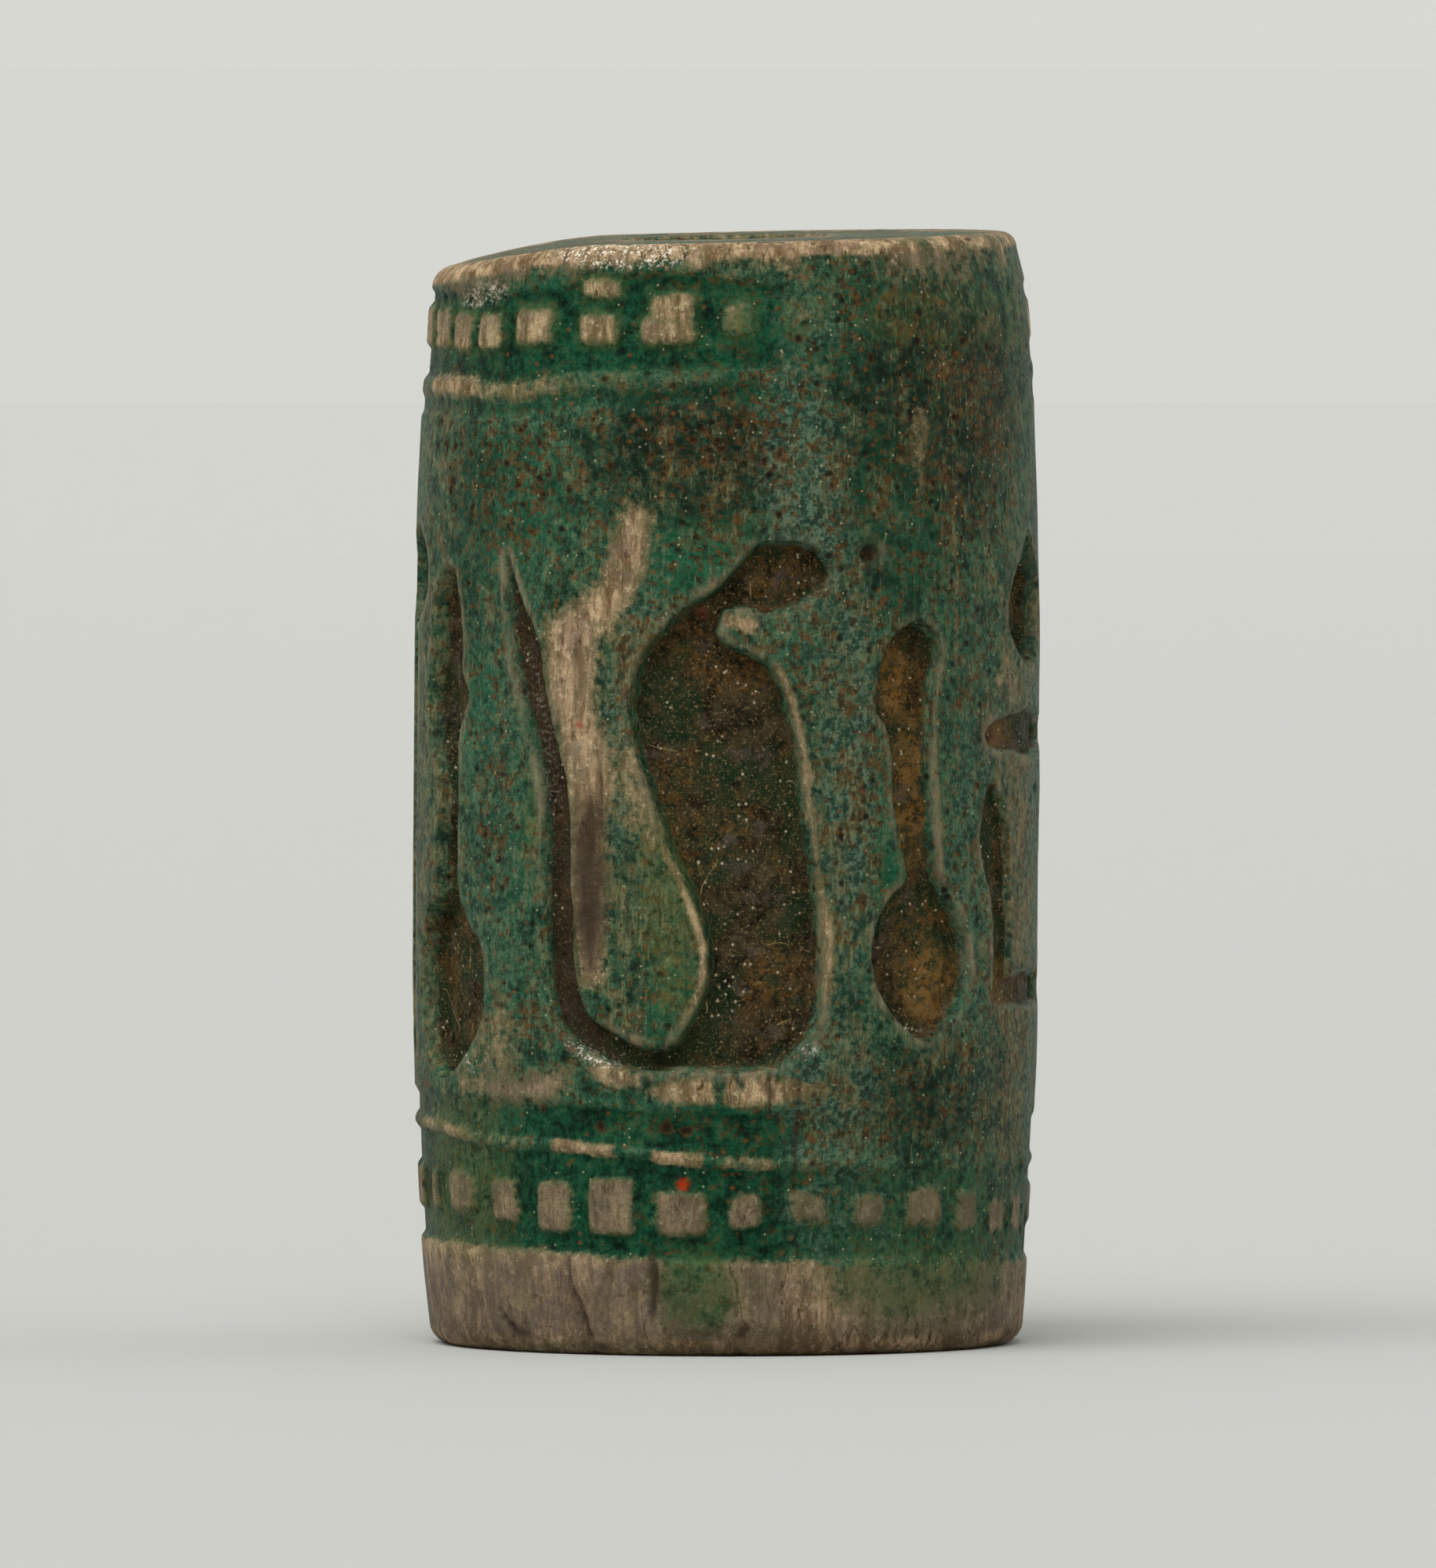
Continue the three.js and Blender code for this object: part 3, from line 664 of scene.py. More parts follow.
def paint(s, z, edge, floor, cells, groove):
    """How much of each finish a place on the wall has."""
    turn = round_to(s, 0)
    sunk, shaded_wall, lit_lip = carving_edges(s, z, turn, edge, floor)
    bare = bare_stone(s, z, turn, edge, cells)
    worn_sides = 0.45 * band(turn, -9, -4.3, 0.9) + 0.5 * band(turn, 1.0, 8.6, 0.7)
    green_groove = groove * (1 - (z < BELLY_HEIGHT) * worn_sides) * (1 - smooth(0.3, 1.0, bare))
    lower_border = band(z, 1.6, 4.6, 0.4) * band(turn, -4.4, 1.2, 1.0)
    cell_edges = 0.5 * band(cells, -0.12, 0.06, 0.05) * (z > BELLY_HEIGHT)
    besides = {
        "worn": unseen(s, z, 0.35, 2.5, 4, 49),
        "bloom": unseen(s, z, 0.4, 3, 4, 47),
        "rust": 0.45 * (1 + noise(s, z, 3, 3, 48)),
        "dim": unseen(s, z, 0.4, 4, 3, 50),
        "emerald": many([0.8 * lower_border, unseen(s, z, 0.45, 2.2, 3, 55)]),
        "olive": many([cell_edges, 0.2 * smooth(-0.1, 0.1, cells)]),
        "grime": grime(s, z, turn, edge, cells),
        "dull": dulled(s, z, turn, cells),
    }
    finishes = {name: many([marks(s, z, rows), besides.get(name, 0 * s)]) for name, rows in MARKS.items()}
    # deep: green glaze pooled in the border grooves, and painted shade on the carving's shaded walls
    finishes.update(bare=bare, sunk=sunk, lip=lit_lip, deep=many([green_groove, 0.9 * shaded_wall]))
    return finishes


def surface_gradient(field):
    """The direction in which a field on the wall grows, across and up, as a unit vector."""
    up = np.gradient(field, WALL_HEIGHTS, axis=0)
    wrapped = np.concatenate([field[:, -1:], field, field[:, :1]], axis=1)
    places = np.concatenate([[THETA[-1] - 2 * math.pi], THETA, [THETA[0] + 2 * math.pi]]) * BELLY_RADIUS
    across = np.gradient(wrapped, places, axis=1)[:, 1:-1]
    length = np.maximum(np.hypot(across, up), 1e-6)
    return across / length, up / length


def end_height(s, z):
    """How high the upper end is above a place on the wall."""
    x = wall_radius(z) * np.sin(s / BELLY_RADIUS)
    y = -wall_radius(z) * np.cos(s / BELLY_RADIUS)
    return top_at(x, y)


def top_at(x, y):
    """The height of the upper end, which is askew and worn down on the left."""
    past = np.maximum(0, WORN_SHOULDER_START - x)
    return HEIGHT + RISE_TO_RIGHT * x + RISE_TO_BACK * y - WORN_SHOULDER_FALL * past**1.5


def wall_radius(z):
    """The uncarved stone's radius at a height."""
    above = z > BELLY_HEIGHT
    reach = np.where(above, HEIGHT - BELLY_HEIGHT, BELLY_HEIGHT)
    taper = np.where(above, UPPER_TAPER, LOWER_TAPER)
    return BELLY_RADIUS - SKIN - taper * np.minimum(1, np.abs(z - BELLY_HEIGHT) / reach) ** 3


def spread(start, end, count, density):
    """Places from start to end, closer together where density is high."""
    fine = np.linspace(start, end, 4000)
    share = np.concatenate([[0], np.cumsum((density(fine[1:]) + density(fine[:-1])) / 2)])
    return np.interp(np.linspace(0, share[-1], count), share, fine)


def column_density(angle):
    """How close together the columns are: closest on the front."""
    turn = np.abs(np.degrees(angle))
    return COARSE_SHARE + (1 - COARSE_SHARE) * (1 - smooth(FINE_ARC, COARSE_ARC, turn))


def row_density(z):
    """How close together the rows are: closest in the borders, and widest at the foot."""
    borders = 0.55 * band(z, 1.5, 4.4, 0.4) + 0.45 * band(z, 16.8, 19.3, 0.4)
    return 0.85 + borders - 0.25 * band(z, -1, 0.9, 0.3)


THETA = spread(-math.pi, math.pi, COLUMNS + 1, column_density)[:-1]
WALL_HEIGHTS = spread(LOWER_RIM, HEIGHT - UPPER_RIM, WALL_ROWS, row_density)
FINISHES = ["bare", "sunk", "lip", "deep", "pit", *MARKS]


def wall_rows():
    """The wall's points and finishes, from the lower rim to the upper one."""
    theta, nominal = np.meshgrid(THETA, WALL_HEIGHTS)
    s = theta * BELLY_RADIUS
    climb = smooth(SKEW_START, HEIGHT - UPPER_RIM, nominal)
    z = nominal + climb * (end_height(s, nominal) - HEIGHT)
    figure_depth, edge, floor = carve_figures(s, z)
    border_depth, cells, groove = carve_borders(s, z)
    rough_floor = 0.022 * noise(s, z, 0.16, 0.16, 1) + 0.03 * noise(s, z, 0.5, 0.5, 2)
    worn_skin = 0.014 + 0.014 * noise(s, z, 1.1, 1.6, 3) + 0.008 * noise(s, z, 0.35, 1.2, 4)
    pocked = smooth(0.62, 0.95, noise(s, z, 0.22, 0.22, 5))
    pocked = pocked * smooth(0.1, 0.8, noise(s, z, 2.6, 2.2, 6) + 0.25)
    uncarved = 1 - smooth(-0.2, 0, edge)
    pitted = pits(s, z) * uncarved
    depth = np.maximum(figure_depth, border_depth)
    depth = depth + rough_floor * smooth(0.7, 1, floor) + worn_skin * (1 - smooth(0, 0.2, edge))
    depth = depth + POCK_DEPTH * pocked * uncarved + PIT_DEPTH * pitted
    for points in CRACKS:
        depth = depth + CRACK_DEPTH * streak(s, z, points, CRACK_SOFTNESS)
    finishes = paint(s, z, edge, floor, cells, groove)
    finishes["pit"] = pitted
    right_shoulder = smooth(18.0, 20.0, z) ** 2 * band(round_to(s, 0), 4.0, 12.0, 2.0)
    radius = wall_radius(z) - np.maximum(depth, 0) - RIGHT_SHOULDER_WEAR * right_shoulder
    centre = LEAN * (z - BELLY_HEIGHT) * smooth(0, 4.5, z)
    return place(theta, radius, z, centre), finishes


def place(theta, radius, z, centre=0.0):
    return np.stack([radius * np.sin(theta) + centre, -radius * np.cos(theta), z], axis=-1)


def end_rows(wall_row, upper):
    """The points of one end, from the wall's last row over the rim to the mouth of the string hole."""
    rim = UPPER_RIM if upper else LOWER_RIM
    outer = np.hypot(wall_row[:, 0], wall_row[:, 1])
    theta = np.arctan2(wall_row[:, 0], -wall_row[:, 1])
    s = THETA * BELLY_RADIUS
    rows = []
    for i in range(1, RIM_ROWS + 1):
        angle = math.pi / 2 * i / RIM_ROWS
        radius = outer - rim * (1 - math.cos(angle))
        x, y = radius * np.sin(theta), -radius * np.cos(theta)
        end = top_at(x, y) if upper else 0
        drop = rim * (1 - math.sin(angle))
        chipped = 0.03 * np.maximum(0, noise(s, s * 0 + 5 * upper, 0.5, 1, 7)) * math.sin(angle)
        rows.append(place(theta, radius - chipped, end - drop if upper else drop + 0 * radius))
    face_start = outer - rim
    mouth = HOLE_RADIUS + MOUTH_WEAR
    for i in range(1, FACE_ROWS + 1):
        share = i / FACE_ROWS
        radius = face_start + share * (mouth - face_start)
        x, y = radius * np.sin(THETA), -radius * np.cos(THETA)
        hollow = 0.03 * (1 + noise(s, radius, 2.4, 0.8, 8 + upper)) * math.sin(math.pi * share)
        rows.append(place(THETA, radius, top_at(x, y) - hollow if upper else hollow))
    return rows


def hole_rows():
    """The string hole's points, from its upper mouth down to its lower one."""
    rows = []
    for i in range(HOLE_ROWS + 1):
        share = i / HOLE_ROWS
        x, y = HOLE_RADIUS * np.sin(THETA), -HOLE_RADIUS * np.cos(THETA)
        start = top_at(x, y) - MOUTH_WEAR
        rows.append(place(THETA, HOLE_RADIUS + 0 * THETA, start + share * (MOUTH_WEAR - start)))
    return rows


def end_finishes(rows, upper):
    """Finishes of an end: glaze on the upper face with bare stone by the hole, and bare stone on the lower,
    darker all over.
    """
    count = len(rows)
    s = np.tile(THETA * BELLY_RADIUS, (count, 1))
    level = np.arange(count)[:, None] + np.zeros_like(s)
    on_rim = 1 - smooth(RIM_ROWS - 2, RIM_ROWS + 1.5, level)
    blank = {name: np.zeros_like(s) for name in FINISHES}
    if upper:
        blank["bare"] = np.clip(on_rim - 0.3 * band(s, 3.2, 9, 1) + 0.25 * noise(s, level, 0.6, 2, 51), 0, 1)
        blank["bare"] = blank["bare"] + 0.45 * smooth(count - 3.5, count - 1, level)
        blank["shine"] = 0.9 * band(s, -3.4, -0.8, 0.4) * on_rim
        blank["bloom"] = 0.5 + 0.4 * noise(s, level, 4, 3, 53)
        blank["rust"] = 0.6 + 0.4 * noise(s, level, 3, 2, 54)
        blank["worn"] = 0.5 + 0.5 * noise(s, level, 5, 3, 63)
    else:
        blank["bare"] = 0.85 + 0.3 * noise(s, level, 2, 2, 52)
        # The lower end is darker all over
        blank["grime"] = 0.55 + 0.3 * noise(s, level, 0.7, 3, 69)
    return blank


def hole_finishes(count):
    shape = (count, COLUMNS)
    blank = {name: np.zeros(shape) for name in FINISHES}
    blank["sunk"] += 1
    return blank


def grid_mesh(name, points, finishes):
    """A closed mesh from rows of points that join end to end both ways round."""
    rows, columns = points.shape[:2]
    index = np.arange(rows * columns).reshape(rows, columns)
    right, up = np.roll(index, -1, 1), np.roll(index, -1, 0)
    across = np.roll(right, -1, 0)
    flat = points.reshape(-1, 3)
    first = np.linalg.norm(flat[index] - flat[across], axis=-1)
    second = np.linalg.norm(flat[right] - flat[up], axis=-1)
    along = (first <= second)[..., None]
    lower = np.where(along, np.stack([index, right, across], -1), np.stack([index, right, up], -1))
    higher = np.where(along, np.stack([index, across, up], -1), np.stack([right, across, up], -1))
    triangles = np.concatenate([lower.reshape(-1, 3), higher.reshape(-1, 3)]).astype(np.int32)

    mesh = bpy.data.meshes.new(name)
    mesh.vertices.add(len(flat))
    mesh.vertices.foreach_set("co", (flat * MM).astype(np.float32).ravel())
    mesh.loops.add(triangles.size)
    mesh.loops.foreach_set("vertex_index", triangles.ravel())
    mesh.polygons.add(len(triangles))
    mesh.polygons.foreach_set("loop_start", np.arange(0, triangles.size, 3, dtype=np.int32))
    mesh.polygons.foreach_set("use_smooth", np.ones(len(triangles), bool))
    mesh.update(calc_edges=True)
    mesh.validate()
    for finish, values in finishes.items():
        attribute = mesh.attributes.new(finish, "FLOAT", "POINT")
        attribute.data.foreach_set("value", np.clip(values, 0, 1).astype(np.float32).ravel())
    return mesh


def carved_seal():
    wall, wall_finish = wall_rows()
    top = np.stack(end_rows(wall[-1], upper=True))
    hole = np.stack(hole_rows())
    bottom = np.stack(end_rows(wall[0], upper=False))[::-1]
    points = np.concatenate([wall, top, hole, bottom])
    top_finish = end_finishes(top, upper=True)
    bottom_finish = end_finishes(bottom, upper=False)
    hole_finish = hole_finishes(len(hole))
    finishes = {}
    for name in FINISHES:
        parts = [wall_finish[name], top_finish[name], hole_finish[name], bottom_finish[name][::-1]]
        finishes[name] = np.concatenate(parts)
    low = np.array(cad_low) / MM
    high = np.array(cad_high) / MM
    points = np.clip(points, low, high)
    piece = bpy.data.objects.new("carved_seal", grid_mesh("carved_seal", points, finishes))
    bpy.context.scene.collection.objects.link(piece)
    return piece


# The material's colours, as linear red, green and blue
DARK_GLASS = (0.008, 0.022, 0.011)
PALE_GLASS = (0.05, 0.165, 0.088)
EMERALD = (0.002, 0.1, 0.043)
DIM_GLASS = (0.003, 0.009, 0.003)
TURQUOISE_VEIL = (0.03, 0.078, 0.052)
TURQUOISE = (0.16, 0.25, 0.165)
DARK_TAN = (0.06, 0.045, 0.014)
PALE_TAN = (0.22, 0.19, 0.09)
DARK_CRUST = (0.016, 0.009, 0.003)
RUSTY_CRUST = (0.115, 0.048, 0.011)
PALE_THREAD = (0.2, 0.2, 0.11)
HOLLOW = (0.006, 0.004, 0.002)
RUST = (0.15, 0.06, 0.012)
GLINT = (0.5, 0.44, 0.26)
# Green pooled in the grooves, also used as painted shade on the carving's shaded walls
DARK_POOL = (0.0, 0.005, 0.002)
GREEN_POOL = (0.005, 0.09, 0.038)
TAN_POOL = (0.055, 0.052, 0.018)
PIT_EDGE = (0.085, 0.038, 0.012)
PIT_MIDDLE = (0.014, 0.008, 0.004)
# Pale lip: worn edge, with a painted highlight on the lit side
LIT_LIP = (0.28, 0.225, 0.135)
THIN_GLAZE = (0.13, 0.12, 0.052)
OLIVE = (0.085, 0.13, 0.035)
SHADED_STONE = (0.2, 0.125, 0.06)
TAN_STONE = (0.58, 0.41, 0.235)
BROWN_STONE = (0.11, 0.064, 0.028)
GREEN_STONE = (0.09, 0.12, 0.045)
PINK_STONE = (0.24, 0.155, 0.115)
CREAM_STONE = (0.75, 0.61, 0.4)
GREY_STONE = (0.15, 0.115, 0.095)
DARK_CRACK = (0.06, 0.033, 0.014)
SPLIT = (0.1, 0.055, 0.022)
BLACK_DIRT = (0.005, 0.004, 0.001)
BROWN_DIRT = (0.07, 0.052, 0.023)
GREEN_DIRT = (0.006, 0.028, 0.01)
ORANGE_DIRT = (0.19, 0.085, 0.015)
OCHRE_DIRT = (0.24, 0.135, 0.04)
GREY_DIRT = (0.09, 0.07, 0.055)
SILT = (0.27, 0.18, 0.085)
PALE_CRUMB = (0.6, 0.5, 0.34)
LINT = (0.42, 0.31, 0.14)
GRIME = (0.034, 0.022, 0.014)
GRIMY_SILT = (0.16, 0.105, 0.05)
GRIMY_CRUMB = (0.55, 0.45, 0.3)
EMBER = (0.4, 0.035, 0.003)
SPARKLE = (1.0, 0.92, 0.78)
PAPER = (0.535, 0.541, 0.523)
BUMP_HEIGHT = 0.06


class Nodes:
    """Short ways to build a material's nodes. Sizes are in millimetres."""

    def __init__(self, name):
        self.material = bpy.data.materials.new(name)
        self.material.use_nodes = True
        self.tree = self.material.node_tree
        self.shader = self.tree.nodes["Principled BSDF"]
        coordinates = self.tree.nodes.new("ShaderNodeTexCoord")
        self.place = self.scaled(coordinates.outputs["Object"], (1 / MM, 1 / MM, 1 / MM))

    def link(self, value, socket):
        if isinstance(value, bpy.types.NodeSocket):
            self.tree.links.new(value, socket)
        elif isinstance(value, tuple) and len(value) == 3 and socket.type == "RGBA":
            socket.default_value = (*value, 1)
        else:
            socket.default_value = value

    def scaled(self, vector, scale):
        node = self.tree.nodes.new("ShaderNodeVectorMath")
        node.operation = "MULTIPLY"
        self.link(vector, node.inputs[0])
        node.inputs[1].default_value = scale
        return node.outputs[0]

    def layers(self, colour, *layers):
        """A colour with others laid on it in turn, each a (colour, share) pair."""
        for over, share in layers:
            colour = self.mix(colour, over, share)
        return colour

    def noise(self, size, detail, rough, stretch=1.0, distortion=0.0):
        """Grains of the given size, and stretch times that upwards."""
        node = self.tree.nodes.new("ShaderNodeTexNoise")
        self.link(self.scaled(self.place, (1 / size, 1 / size, 1 / (size * stretch))), node.inputs["Vector"])
        node.inputs["Scale"].default_value = 1
        node.inputs["Detail"].default_value = detail
        node.inputs["Roughness"].default_value = rough
        node.inputs["Distortion"].default_value = distortion
        return node.outputs["Fac"]

    def specks(self, spacing, reach, chosen, more=0.0):
        """1 on round specks that fade over reach, in parts of their spacing, if their chance is high."""
        node = self.tree.nodes.new("ShaderNodeTexVoronoi")
        self.link(self.scaled(self.place, (1 / spacing, 1 / spacing, 1 / spacing)), node.inputs["Vector"])
        node.inputs["Scale"].default_value = 1
        chance = self.plus(node.outputs["Color"], more)
        return self.times(self.step(node.outputs["Distance"], *reach, 1, 0), self.step(chance, *chosen))

    def finish(self, name, share=1.0):
        """A finish painted on the mesh, times a share."""
        node = self.tree.nodes.new("ShaderNodeAttribute")
        node.attribute_name = name
        return self.times(node.outputs["Fac"], share)

    def math(self, operation, a, b=0.0):
        node = self.tree.nodes.new("ShaderNodeMath")
        node.operation = operation
        self.link(a, node.inputs[0])
        self.link(b, node.inputs[1])
        return node.outputs[0]

    def times(self, a, b):
        return self.math("MULTIPLY", a, b)

    def plus(self, a, b):
        return self.math("ADD", a, b)

    def blend(self, a, b, c, share_a, share_b, share_c):
        """The weighted sum of three values."""
        return self.plus(self.plus(self.times(a, share_a), self.times(b, share_b)), self.times(c, share_c))

    def thread(self, size, width, detail, stretch=1.0):
        """1 on thin wandering lines, which are where a noise crosses its middle value."""
        offset = self.math("SUBTRACT", self.noise(size, detail, 0.55, stretch=stretch), 0.5)
        return self.step(self.math("ABSOLUTE", offset), 0, width, 1, 0)

    def step(self, value, low, high, start=0.0, end=1.0):
        """A soft step from start to end as the value goes from low to high."""
        node = self.tree.nodes.new("ShaderNodeMapRange")
        node.interpolation_type = "SMOOTHSTEP"
        self.link(value, node.inputs["Value"])
        for socket, number in (("From Min", low), ("From Max", high), ("To Min", start), ("To Max", end)):
            node.inputs[socket].default_value = number
        return node.outputs["Result"]

    def mix(self, a, b, share):
        node = self.tree.nodes.new("ShaderNodeMix")
        node.data_type = "RGBA"
        self.link(share, node.inputs["Factor"])
        self.link(a, node.inputs["A"])
        self.link(b, node.inputs["B"])
        return node.outputs["Result"]


class StoneNodes(Nodes):
    """Nodes with the noises that the layers of the stone share, from fine to broad."""

    def __init__(self, name):
        super().__init__(name)
        self.dust = self.noise(0.045, 2, 0.6)
        self.grain = self.noise(0.12, 5, 0.7)
        self.mottle = self.noise(0.42, 7, 0.66)
        self.cloud = self.noise(1.7, 6, 0.6)
        self.fine_fibre = self.noise(0.05, 3, 0.6, stretch=8)
        self.fibre = self.noise(0.085, 5, 0.65, stretch=4, distortion=0.7)
        self.broad_fibre = self.noise(0.33, 6, 0.65, stretch=4, distortion=0.7)
        self.patchy = self.blend(self.grain, self.fibre, self.mottle, 0.34, 0.16, 0.5)
        tan = self.blend(self.mottle, self.grain, self.broad_fibre, 0.5, 0.27, 0.23)
        tan = self.plus(tan, self.finish("worn", 0.08))
        self.tan = self.math("SUBTRACT", tan, self.finish("emerald", 0.03))
        crust = self.blend(self.noise(0.15, 6, 0.74), self.mottle, self.cloud, 0.6, 0.25, 0.15)
        self.crust = self.plus(crust, self.finish("rust", 0.07))
        self.crust_colour = self.mix(DARK_CRUST, RUSTY_CRUST, self.step(self.noise(0.14, 4, 0.7), 0.4, 0.62))
        self.hollow = self.specks(0.26, (0.08, 0.34), (0.76, 0.82), self.finish("rust", 0.22))
        self.silt = self.step(self.noise(0.05, 4, 0.7), 0.55, 0.66)
        self.crumb = self.specks(0.12, (0.1, 0.3), (0.74, 0.77))


def glass(n):
    """Glaze from dark to emerald, with turquoise weathering, and what lies on it or shows through it."""
    emerald = n.plus(n.finish("emerald"), n.step(n.cloud, 0.35, 0.65, -0.3, 0.3))
    bloom = n.step(n.noise(0.12, 5, 0.75), 0.45, 0.63)
    tan_colour = n.mix(DARK_TAN, PALE_TAN, n.step(n.fibre, 0.4, 0.6))
    return n.layers(
        n.mix(DARK_GLASS, PALE_GLASS, n.step(n.patchy, 0.4, 0.59)),
        (EMERALD, n.step(emerald, 0.2, 1.0, 0, 0.5)),
        (DIM_GLASS, n.finish("dim", 0.68)),
        (TURQUOISE_VEIL, n.finish("bloom", 0.45)),
        (TURQUOISE, n.times(n.finish("bloom", 0.8), bloom)),
        (tan_colour, n.step(n.tan, 0.475, 0.61, 0, 0.8)),
        (n.crust_colour, n.step(n.crust, 0.54, 0.61, 0, 0.85)),
        (PALE_THREAD, n.step(n.fine_fibre, 0.6, 0.74, 0, 0.65)),
        (HOLLOW, n.times(n.hollow, 0.85)),
    )


def pooled_green_and_painted_shade(n):
    """The deep green glaze that gathered in the grooves, also laid as painted shade on the carving's shaded
    walls.
    """
    return n.layers(
        n.mix(DARK_POOL, GREEN_POOL, n.step(n.patchy, 0.4, 0.6)),
        (TAN_POOL, n.step(n.tan, 0.52, 0.64, 0, 0.55)),
        (n.crust_colour, n.step(n.crust, 0.55, 0.62, 0, 0.6)),
    )


def glaze(n):
    """All of the glaze, with pooled green and painted shade, rust dots, painted glints, pits and pale lips
    with a painted highlight.
    """
    deep = n.plus(n.finish("deep"), n.step(n.mottle, 0.3, 0.7, -0.2, 0.2))
    pit = n.plus(n.finish("pit"), n.step(n.grain, 0.35, 0.65, -0.3, 0.2))
    return n.layers(
        glass(n),
        # pooled green in the grooves, and painted shade on the shaded walls
        (pooled_green_and_painted_shade(n), n.step(deep, 0.2, 0.8, 0, 0.9)),
        (RUST, n.times(n.specks(0.18, (0.1, 0.34), (0.76, 0.82), n.finish("rust", 0.28)), 0.8)),
        (GLINT, n.times(n.specks(0.1, (0.1, 0.3), (0.84, 0.87), n.finish("rust", 0.08)), 0.7)),
        (PIT_EDGE, n.step(pit, 0.1, 0.5, 0, 0.6)),
        (PIT_MIDDLE, n.step(pit, 0.4, 0.85, 0, 0.85)),
        # pale lips, partly worn and partly a painted highlight on the lit side
        (LIT_LIP, n.times(n.finish("lip"), n.step(n.broad_fibre, 0.4, 0.6, 0.05, 0.75))),
    )


def stone(n):
    """Bare stone, which is fibrous along the axis and has thin dark cracks."""
    return n.layers(
        n.mix(SHADED_STONE, TAN_STONE, n.step(n.broad_fibre, 0.4, 0.59)),
        (BROWN_STONE, n.step(n.fibre, 0.47, 0.63, 0, 0.65)),
        (GREEN_STONE, n.step(n.mottle, 0.52, 0.66, 0, 0.5)),
        (PINK_STONE, n.step(n.noise(0.8, 5, 0.6), 0.53, 0.64, 0, 0.45)),
        (CREAM_STONE, n.step(n.grain, 0.54, 0.7, 0, 0.65)),
        (GREY_STONE, n.times(n.finish("dull"), n.step(n.mottle, 0.35, 0.6, 0.3, 0.9))),
        (DARK_CRACK, n.times(n.thread(0.7, 0.012, 4, 5), n.step(n.cloud, 0.48, 0.56))),
        (SPLIT, n.times(n.thread(0.4, 0.018, 3, 7), n.step(n.mottle, 0.46, 0.56, 0, 0.7))),
    )


def dirty_floor(n):
    """The brown dirt that fills the floors of the carving."""
    orange = n.plus(n.step(n.noise(1.1, 6, 0.68), 0.44, 0.64, 0, 0.75), n.finish("ochre"))
    orange = n.times(orange, n.step(n.noise(0.14, 5, 0.72), 0.44, 0.6))
    lint = n.times(n.thread(1.1, 0.007, 0), n.step(n.noise(0.9, 1, 0.5), 0.6, 0.63))
    return n.layers(
        n.mix(BLACK_DIRT, BROWN_DIRT, n.step(n.patchy, 0.4, 0.62)),
        (GREEN_DIRT, n.step(n.noise(0.8, 6, 0.68), 0.44, 0.58, 0, 0.7)),
        (ORANGE_DIRT, n.times(orange, 0.65)),
        (OCHRE_DIRT, n.times(n.finish("ochre"), n.step(n.noise(0.26, 6, 0.72), 0.45, 0.6, 0.05, 0.75))),
        (GREY_DIRT, n.step(n.noise(0.5, 5, 0.6), 0.56, 0.68, 0, 0.6)),
        (SILT, n.times(n.silt, 0.8)),
        (PALE_CRUMB, n.times(n.crumb, 0.75)),
        (LINT, n.times(lint, 0.8)),
    )


def fine_bump(n):
    """Grain too fine for the mesh."""
    height = n.blend(n.grain, n.dust, n.fibre, 0.6, 0.35, 0.25)
    bump = n.tree.nodes.new("ShaderNodeBump")
    bump.inputs["Distance"].default_value = BUMP_HEIGHT * MM
    bump.inputs["Strength"].default_value = 1.0
    n.link(n.math("SUBTRACT", height, n.times(n.hollow, 0.7)), bump.inputs["Height"])
    return bump.outputs["Normal"]


def glazed_steatite():
    """Worn copper-green glaze over tan stone, with dirt in the carving, red specks and sparkling edges."""
    n = StoneNodes("glazed_steatite")
    ragged = n.step(n.blend(n.grain, n.fibre, n.mottle, 0.3, 0.25, 0.45), 0.38, 0.62, -0.24, 0.24)
    wear = n.plus(n.finish("bare"), ragged)
    bare = n.step(wear, 0.2, 0.95)
    sunk = n.step(n.plus(n.finish("sunk"), n.step(n.grain, 0.3, 0.7, -0.15, 0.15)), 0.35, 0.65)
    grimy_floor = n.times(sunk, n.finish("grime"))
    colour = n.layers(
        glaze(n),
        (THIN_GLAZE, n.step(wear, 0.1, 0.6, 0, 0.65)),
        (stone(n), bare),
        (OLIVE, n.times(n.finish("olive", 0.75), n.step(n.patchy, 0.38, 0.6, 0.3, 0.9))),
        (dirty_floor(n), sunk),
        # grime: dirt in the tail, cracks and lower cells, and darker towards the foot and on the lower end
        (GRIME, n.times(n.finish("grime", 0.95), n.step(n.broad_fibre, 0.35, 0.6, 0.85, 1))),
        (GRIMY_SILT, n.times(grimy_floor, n.silt)),
        (GRIMY_CRUMB, n.times(grimy_floor, n.crumb)),
        (EMBER, n.finish("ember")),
        (SPARKLE, n.times(n.finish("shine", 0.9), n.step(n.noise(0.075, 3, 0.7), 0.53, 0.6))),
    )
    n.link(colour, n.shader.inputs["Base Color"])
    matt = n.times(n.math("MAXIMUM", sunk, bare), 0.62)
    n.link(n.math("MAXIMUM", n.step(n.dust, 0.3, 0.7, 0.35, 0.6), matt), n.shader.inputs["Roughness"])
    n.shader.inputs["Specular IOR Level"].default_value = 0.16
    n.shader.inputs["IOR"].default_value = 1.33
    n.link(fine_bump(n), n.shader.inputs["Normal"])
    return n.material


def stage_material():
    n = Nodes("pale_paper")
    n.shader.inputs["Base Color"].default_value = (*PAPER, 1)
    n.shader.inputs["Roughness"].default_value = 0.9
    n.shader.inputs["Specular IOR Level"].default_value = 0.1
    return n.material


# The stage, in metres
FLAT_RINGS = (0.02, 0.3)
FLOOR_RADIUS = 1.3
SWEEP_RADIUS = 2.5
SWEEP_STEPS = 16
STAGE_SIDES = 96


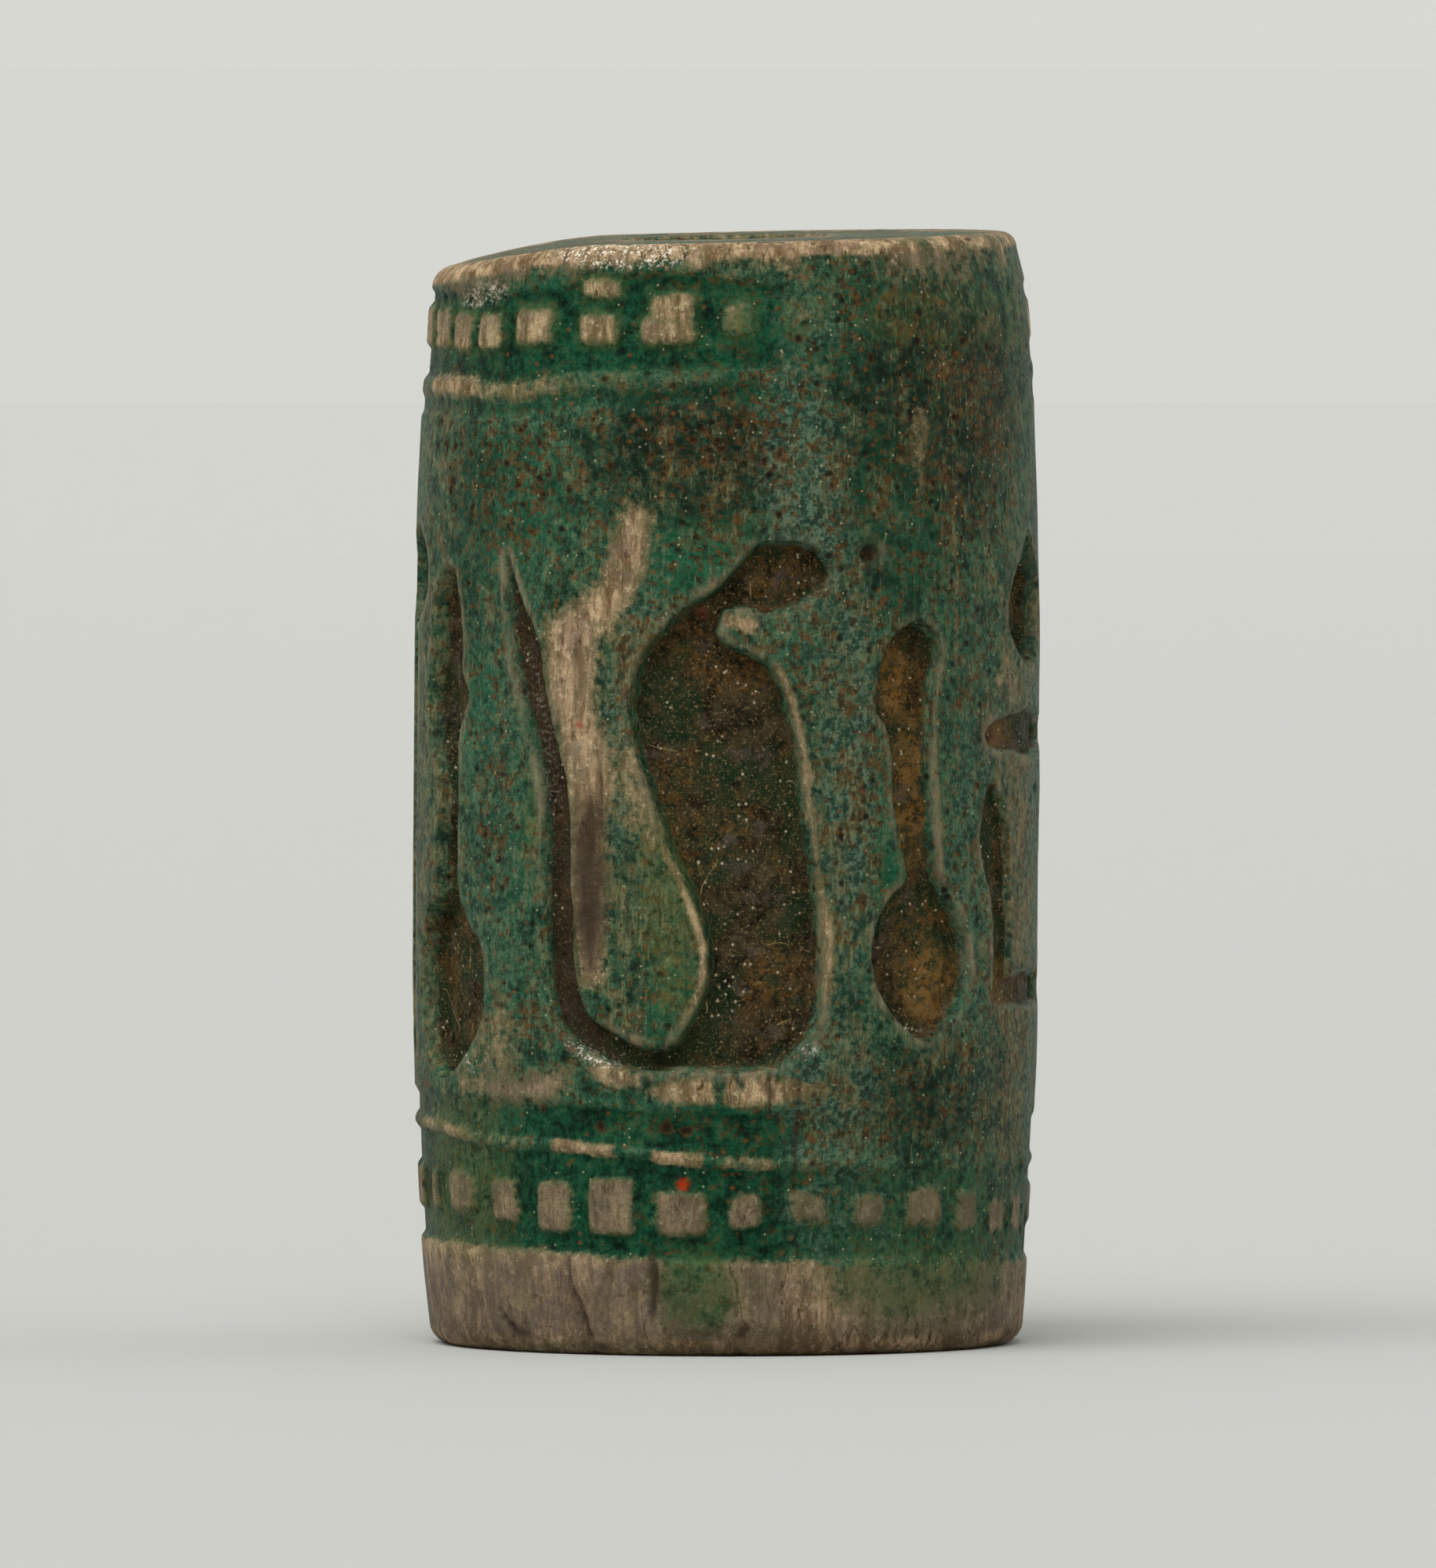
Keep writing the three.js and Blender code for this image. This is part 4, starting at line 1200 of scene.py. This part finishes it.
def pale_sweep():
    """A round floor that curves up into a wall on every side."""
    profile = [(radius, 0.0) for radius in (*FLAT_RINGS, FLOOR_RADIUS)]
    for i in range(1, SWEEP_STEPS + 1):
        angle = math.pi / 2 * i / SWEEP_STEPS
        rise = SWEEP_RADIUS * (1 - math.cos(angle))
        profile.append((FLOOR_RADIUS + SWEEP_RADIUS * math.sin(angle), rise))
    turns = [2 * math.pi * i / STAGE_SIDES for i in range(STAGE_SIDES)]
    vertices = [(r * math.cos(t), r * math.sin(t), z) for r, z in profile for t in turns]
    faces = [list(range(STAGE_SIDES))[::-1]]
    for ring in range(len(profile) - 1):
        for i in range(STAGE_SIDES):
            a, b = ring * STAGE_SIDES + i, ring * STAGE_SIDES + (i + 1) % STAGE_SIDES
            faces.append([a, b, b + STAGE_SIDES, a + STAGE_SIDES])
    mesh = bpy.data.meshes.new("pale_sweep")
    mesh.from_pydata(vertices, [], faces)
    mesh.materials.append(stage_material())
    piece = bpy.data.objects.new("pale_sweep", mesh)
    bpy.context.scene.collection.objects.link(piece)
    return piece


# The camera, from the photograph's framing: image sizes in pixels, the rest in millimetres
IMAGE = (1831, 2000)
SCALE = 71.0  # pixels for each mm at the stone's axis
AXIS_PIXEL = 926
LEVEL_PIXEL = 1002  # the row that shows the axis at this height
LEVEL_HEIGHT = 10
CAMERA_DISTANCE = 350
CAMERA_ELEVATION = 1.3  # degrees
SENSOR = 36.0


def camera():
    data = bpy.data.cameras.new("camera")
    data.sensor_fit = "HORIZONTAL"
    data.sensor_width = SENSOR
    data.lens = SENSOR * CAMERA_DISTANCE * SCALE / IMAGE[0]
    data.clip_start = 0.01
    data.clip_end = 10
    piece = bpy.data.objects.new("camera", data)
    tilt = math.radians(CAMERA_ELEVATION)
    aim_x = (IMAGE[0] / 2 - AXIS_PIXEL) / SCALE
    aim_z = LEVEL_HEIGHT + (LEVEL_PIXEL - IMAGE[1] / 2) / SCALE
    piece.location = (
        aim_x * MM,
        -CAMERA_DISTANCE * math.cos(tilt) * MM,
        (aim_z + CAMERA_DISTANCE * math.sin(tilt)) * MM,
    )
    piece.rotation_euler = (math.pi / 2 - tilt, 0, 0)
    bpy.context.scene.collection.objects.link(piece)
    bpy.context.scene.camera = piece


# A light is (name, direction towards it, spread in degrees, strength)
LIGHTS = [
    ("key_light", (-0.35, -0.6, 0.9), 60, 2.3),
    ("left_light", (-1, 0.15, 0.4), 50, 0.45),
    ("right_light", (1, 0.15, 0.4), 50, 0.8),
]
ROOM_COLOUR = (1.0, 0.99, 0.95)
ROOM_STRENGTH = 0.62


def distant_light(name, direction, spread_angle, strength):
    """Light that comes evenly from one direction, softened over an angle."""
    data = bpy.data.lights.new(name, "SUN")
    data.angle = math.radians(spread_angle)
    data.energy = strength
    piece = bpy.data.objects.new(name, data)
    piece.rotation_euler = Vector(direction).to_track_quat("Z", "Y").to_euler()
    bpy.context.scene.collection.objects.link(piece)


def studio_light():
    for light in LIGHTS:
        distant_light(*light)
    world = bpy.data.worlds.new("pale_room")
    world.use_nodes = True
    background = world.node_tree.nodes["Background"]
    background.inputs["Color"].default_value = (*ROOM_COLOUR, 1)
    background.inputs["Strength"].default_value = ROOM_STRENGTH
    bpy.context.scene.world = world


def main():
    camera()
    studio_light()
    pale_sweep()
    seal = carved_seal()
    seal.data.materials.append(glazed_steatite())
    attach(seal, "root")
    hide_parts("seal")
    bpy.context.scene.view_settings.view_transform = "Standard"


main()
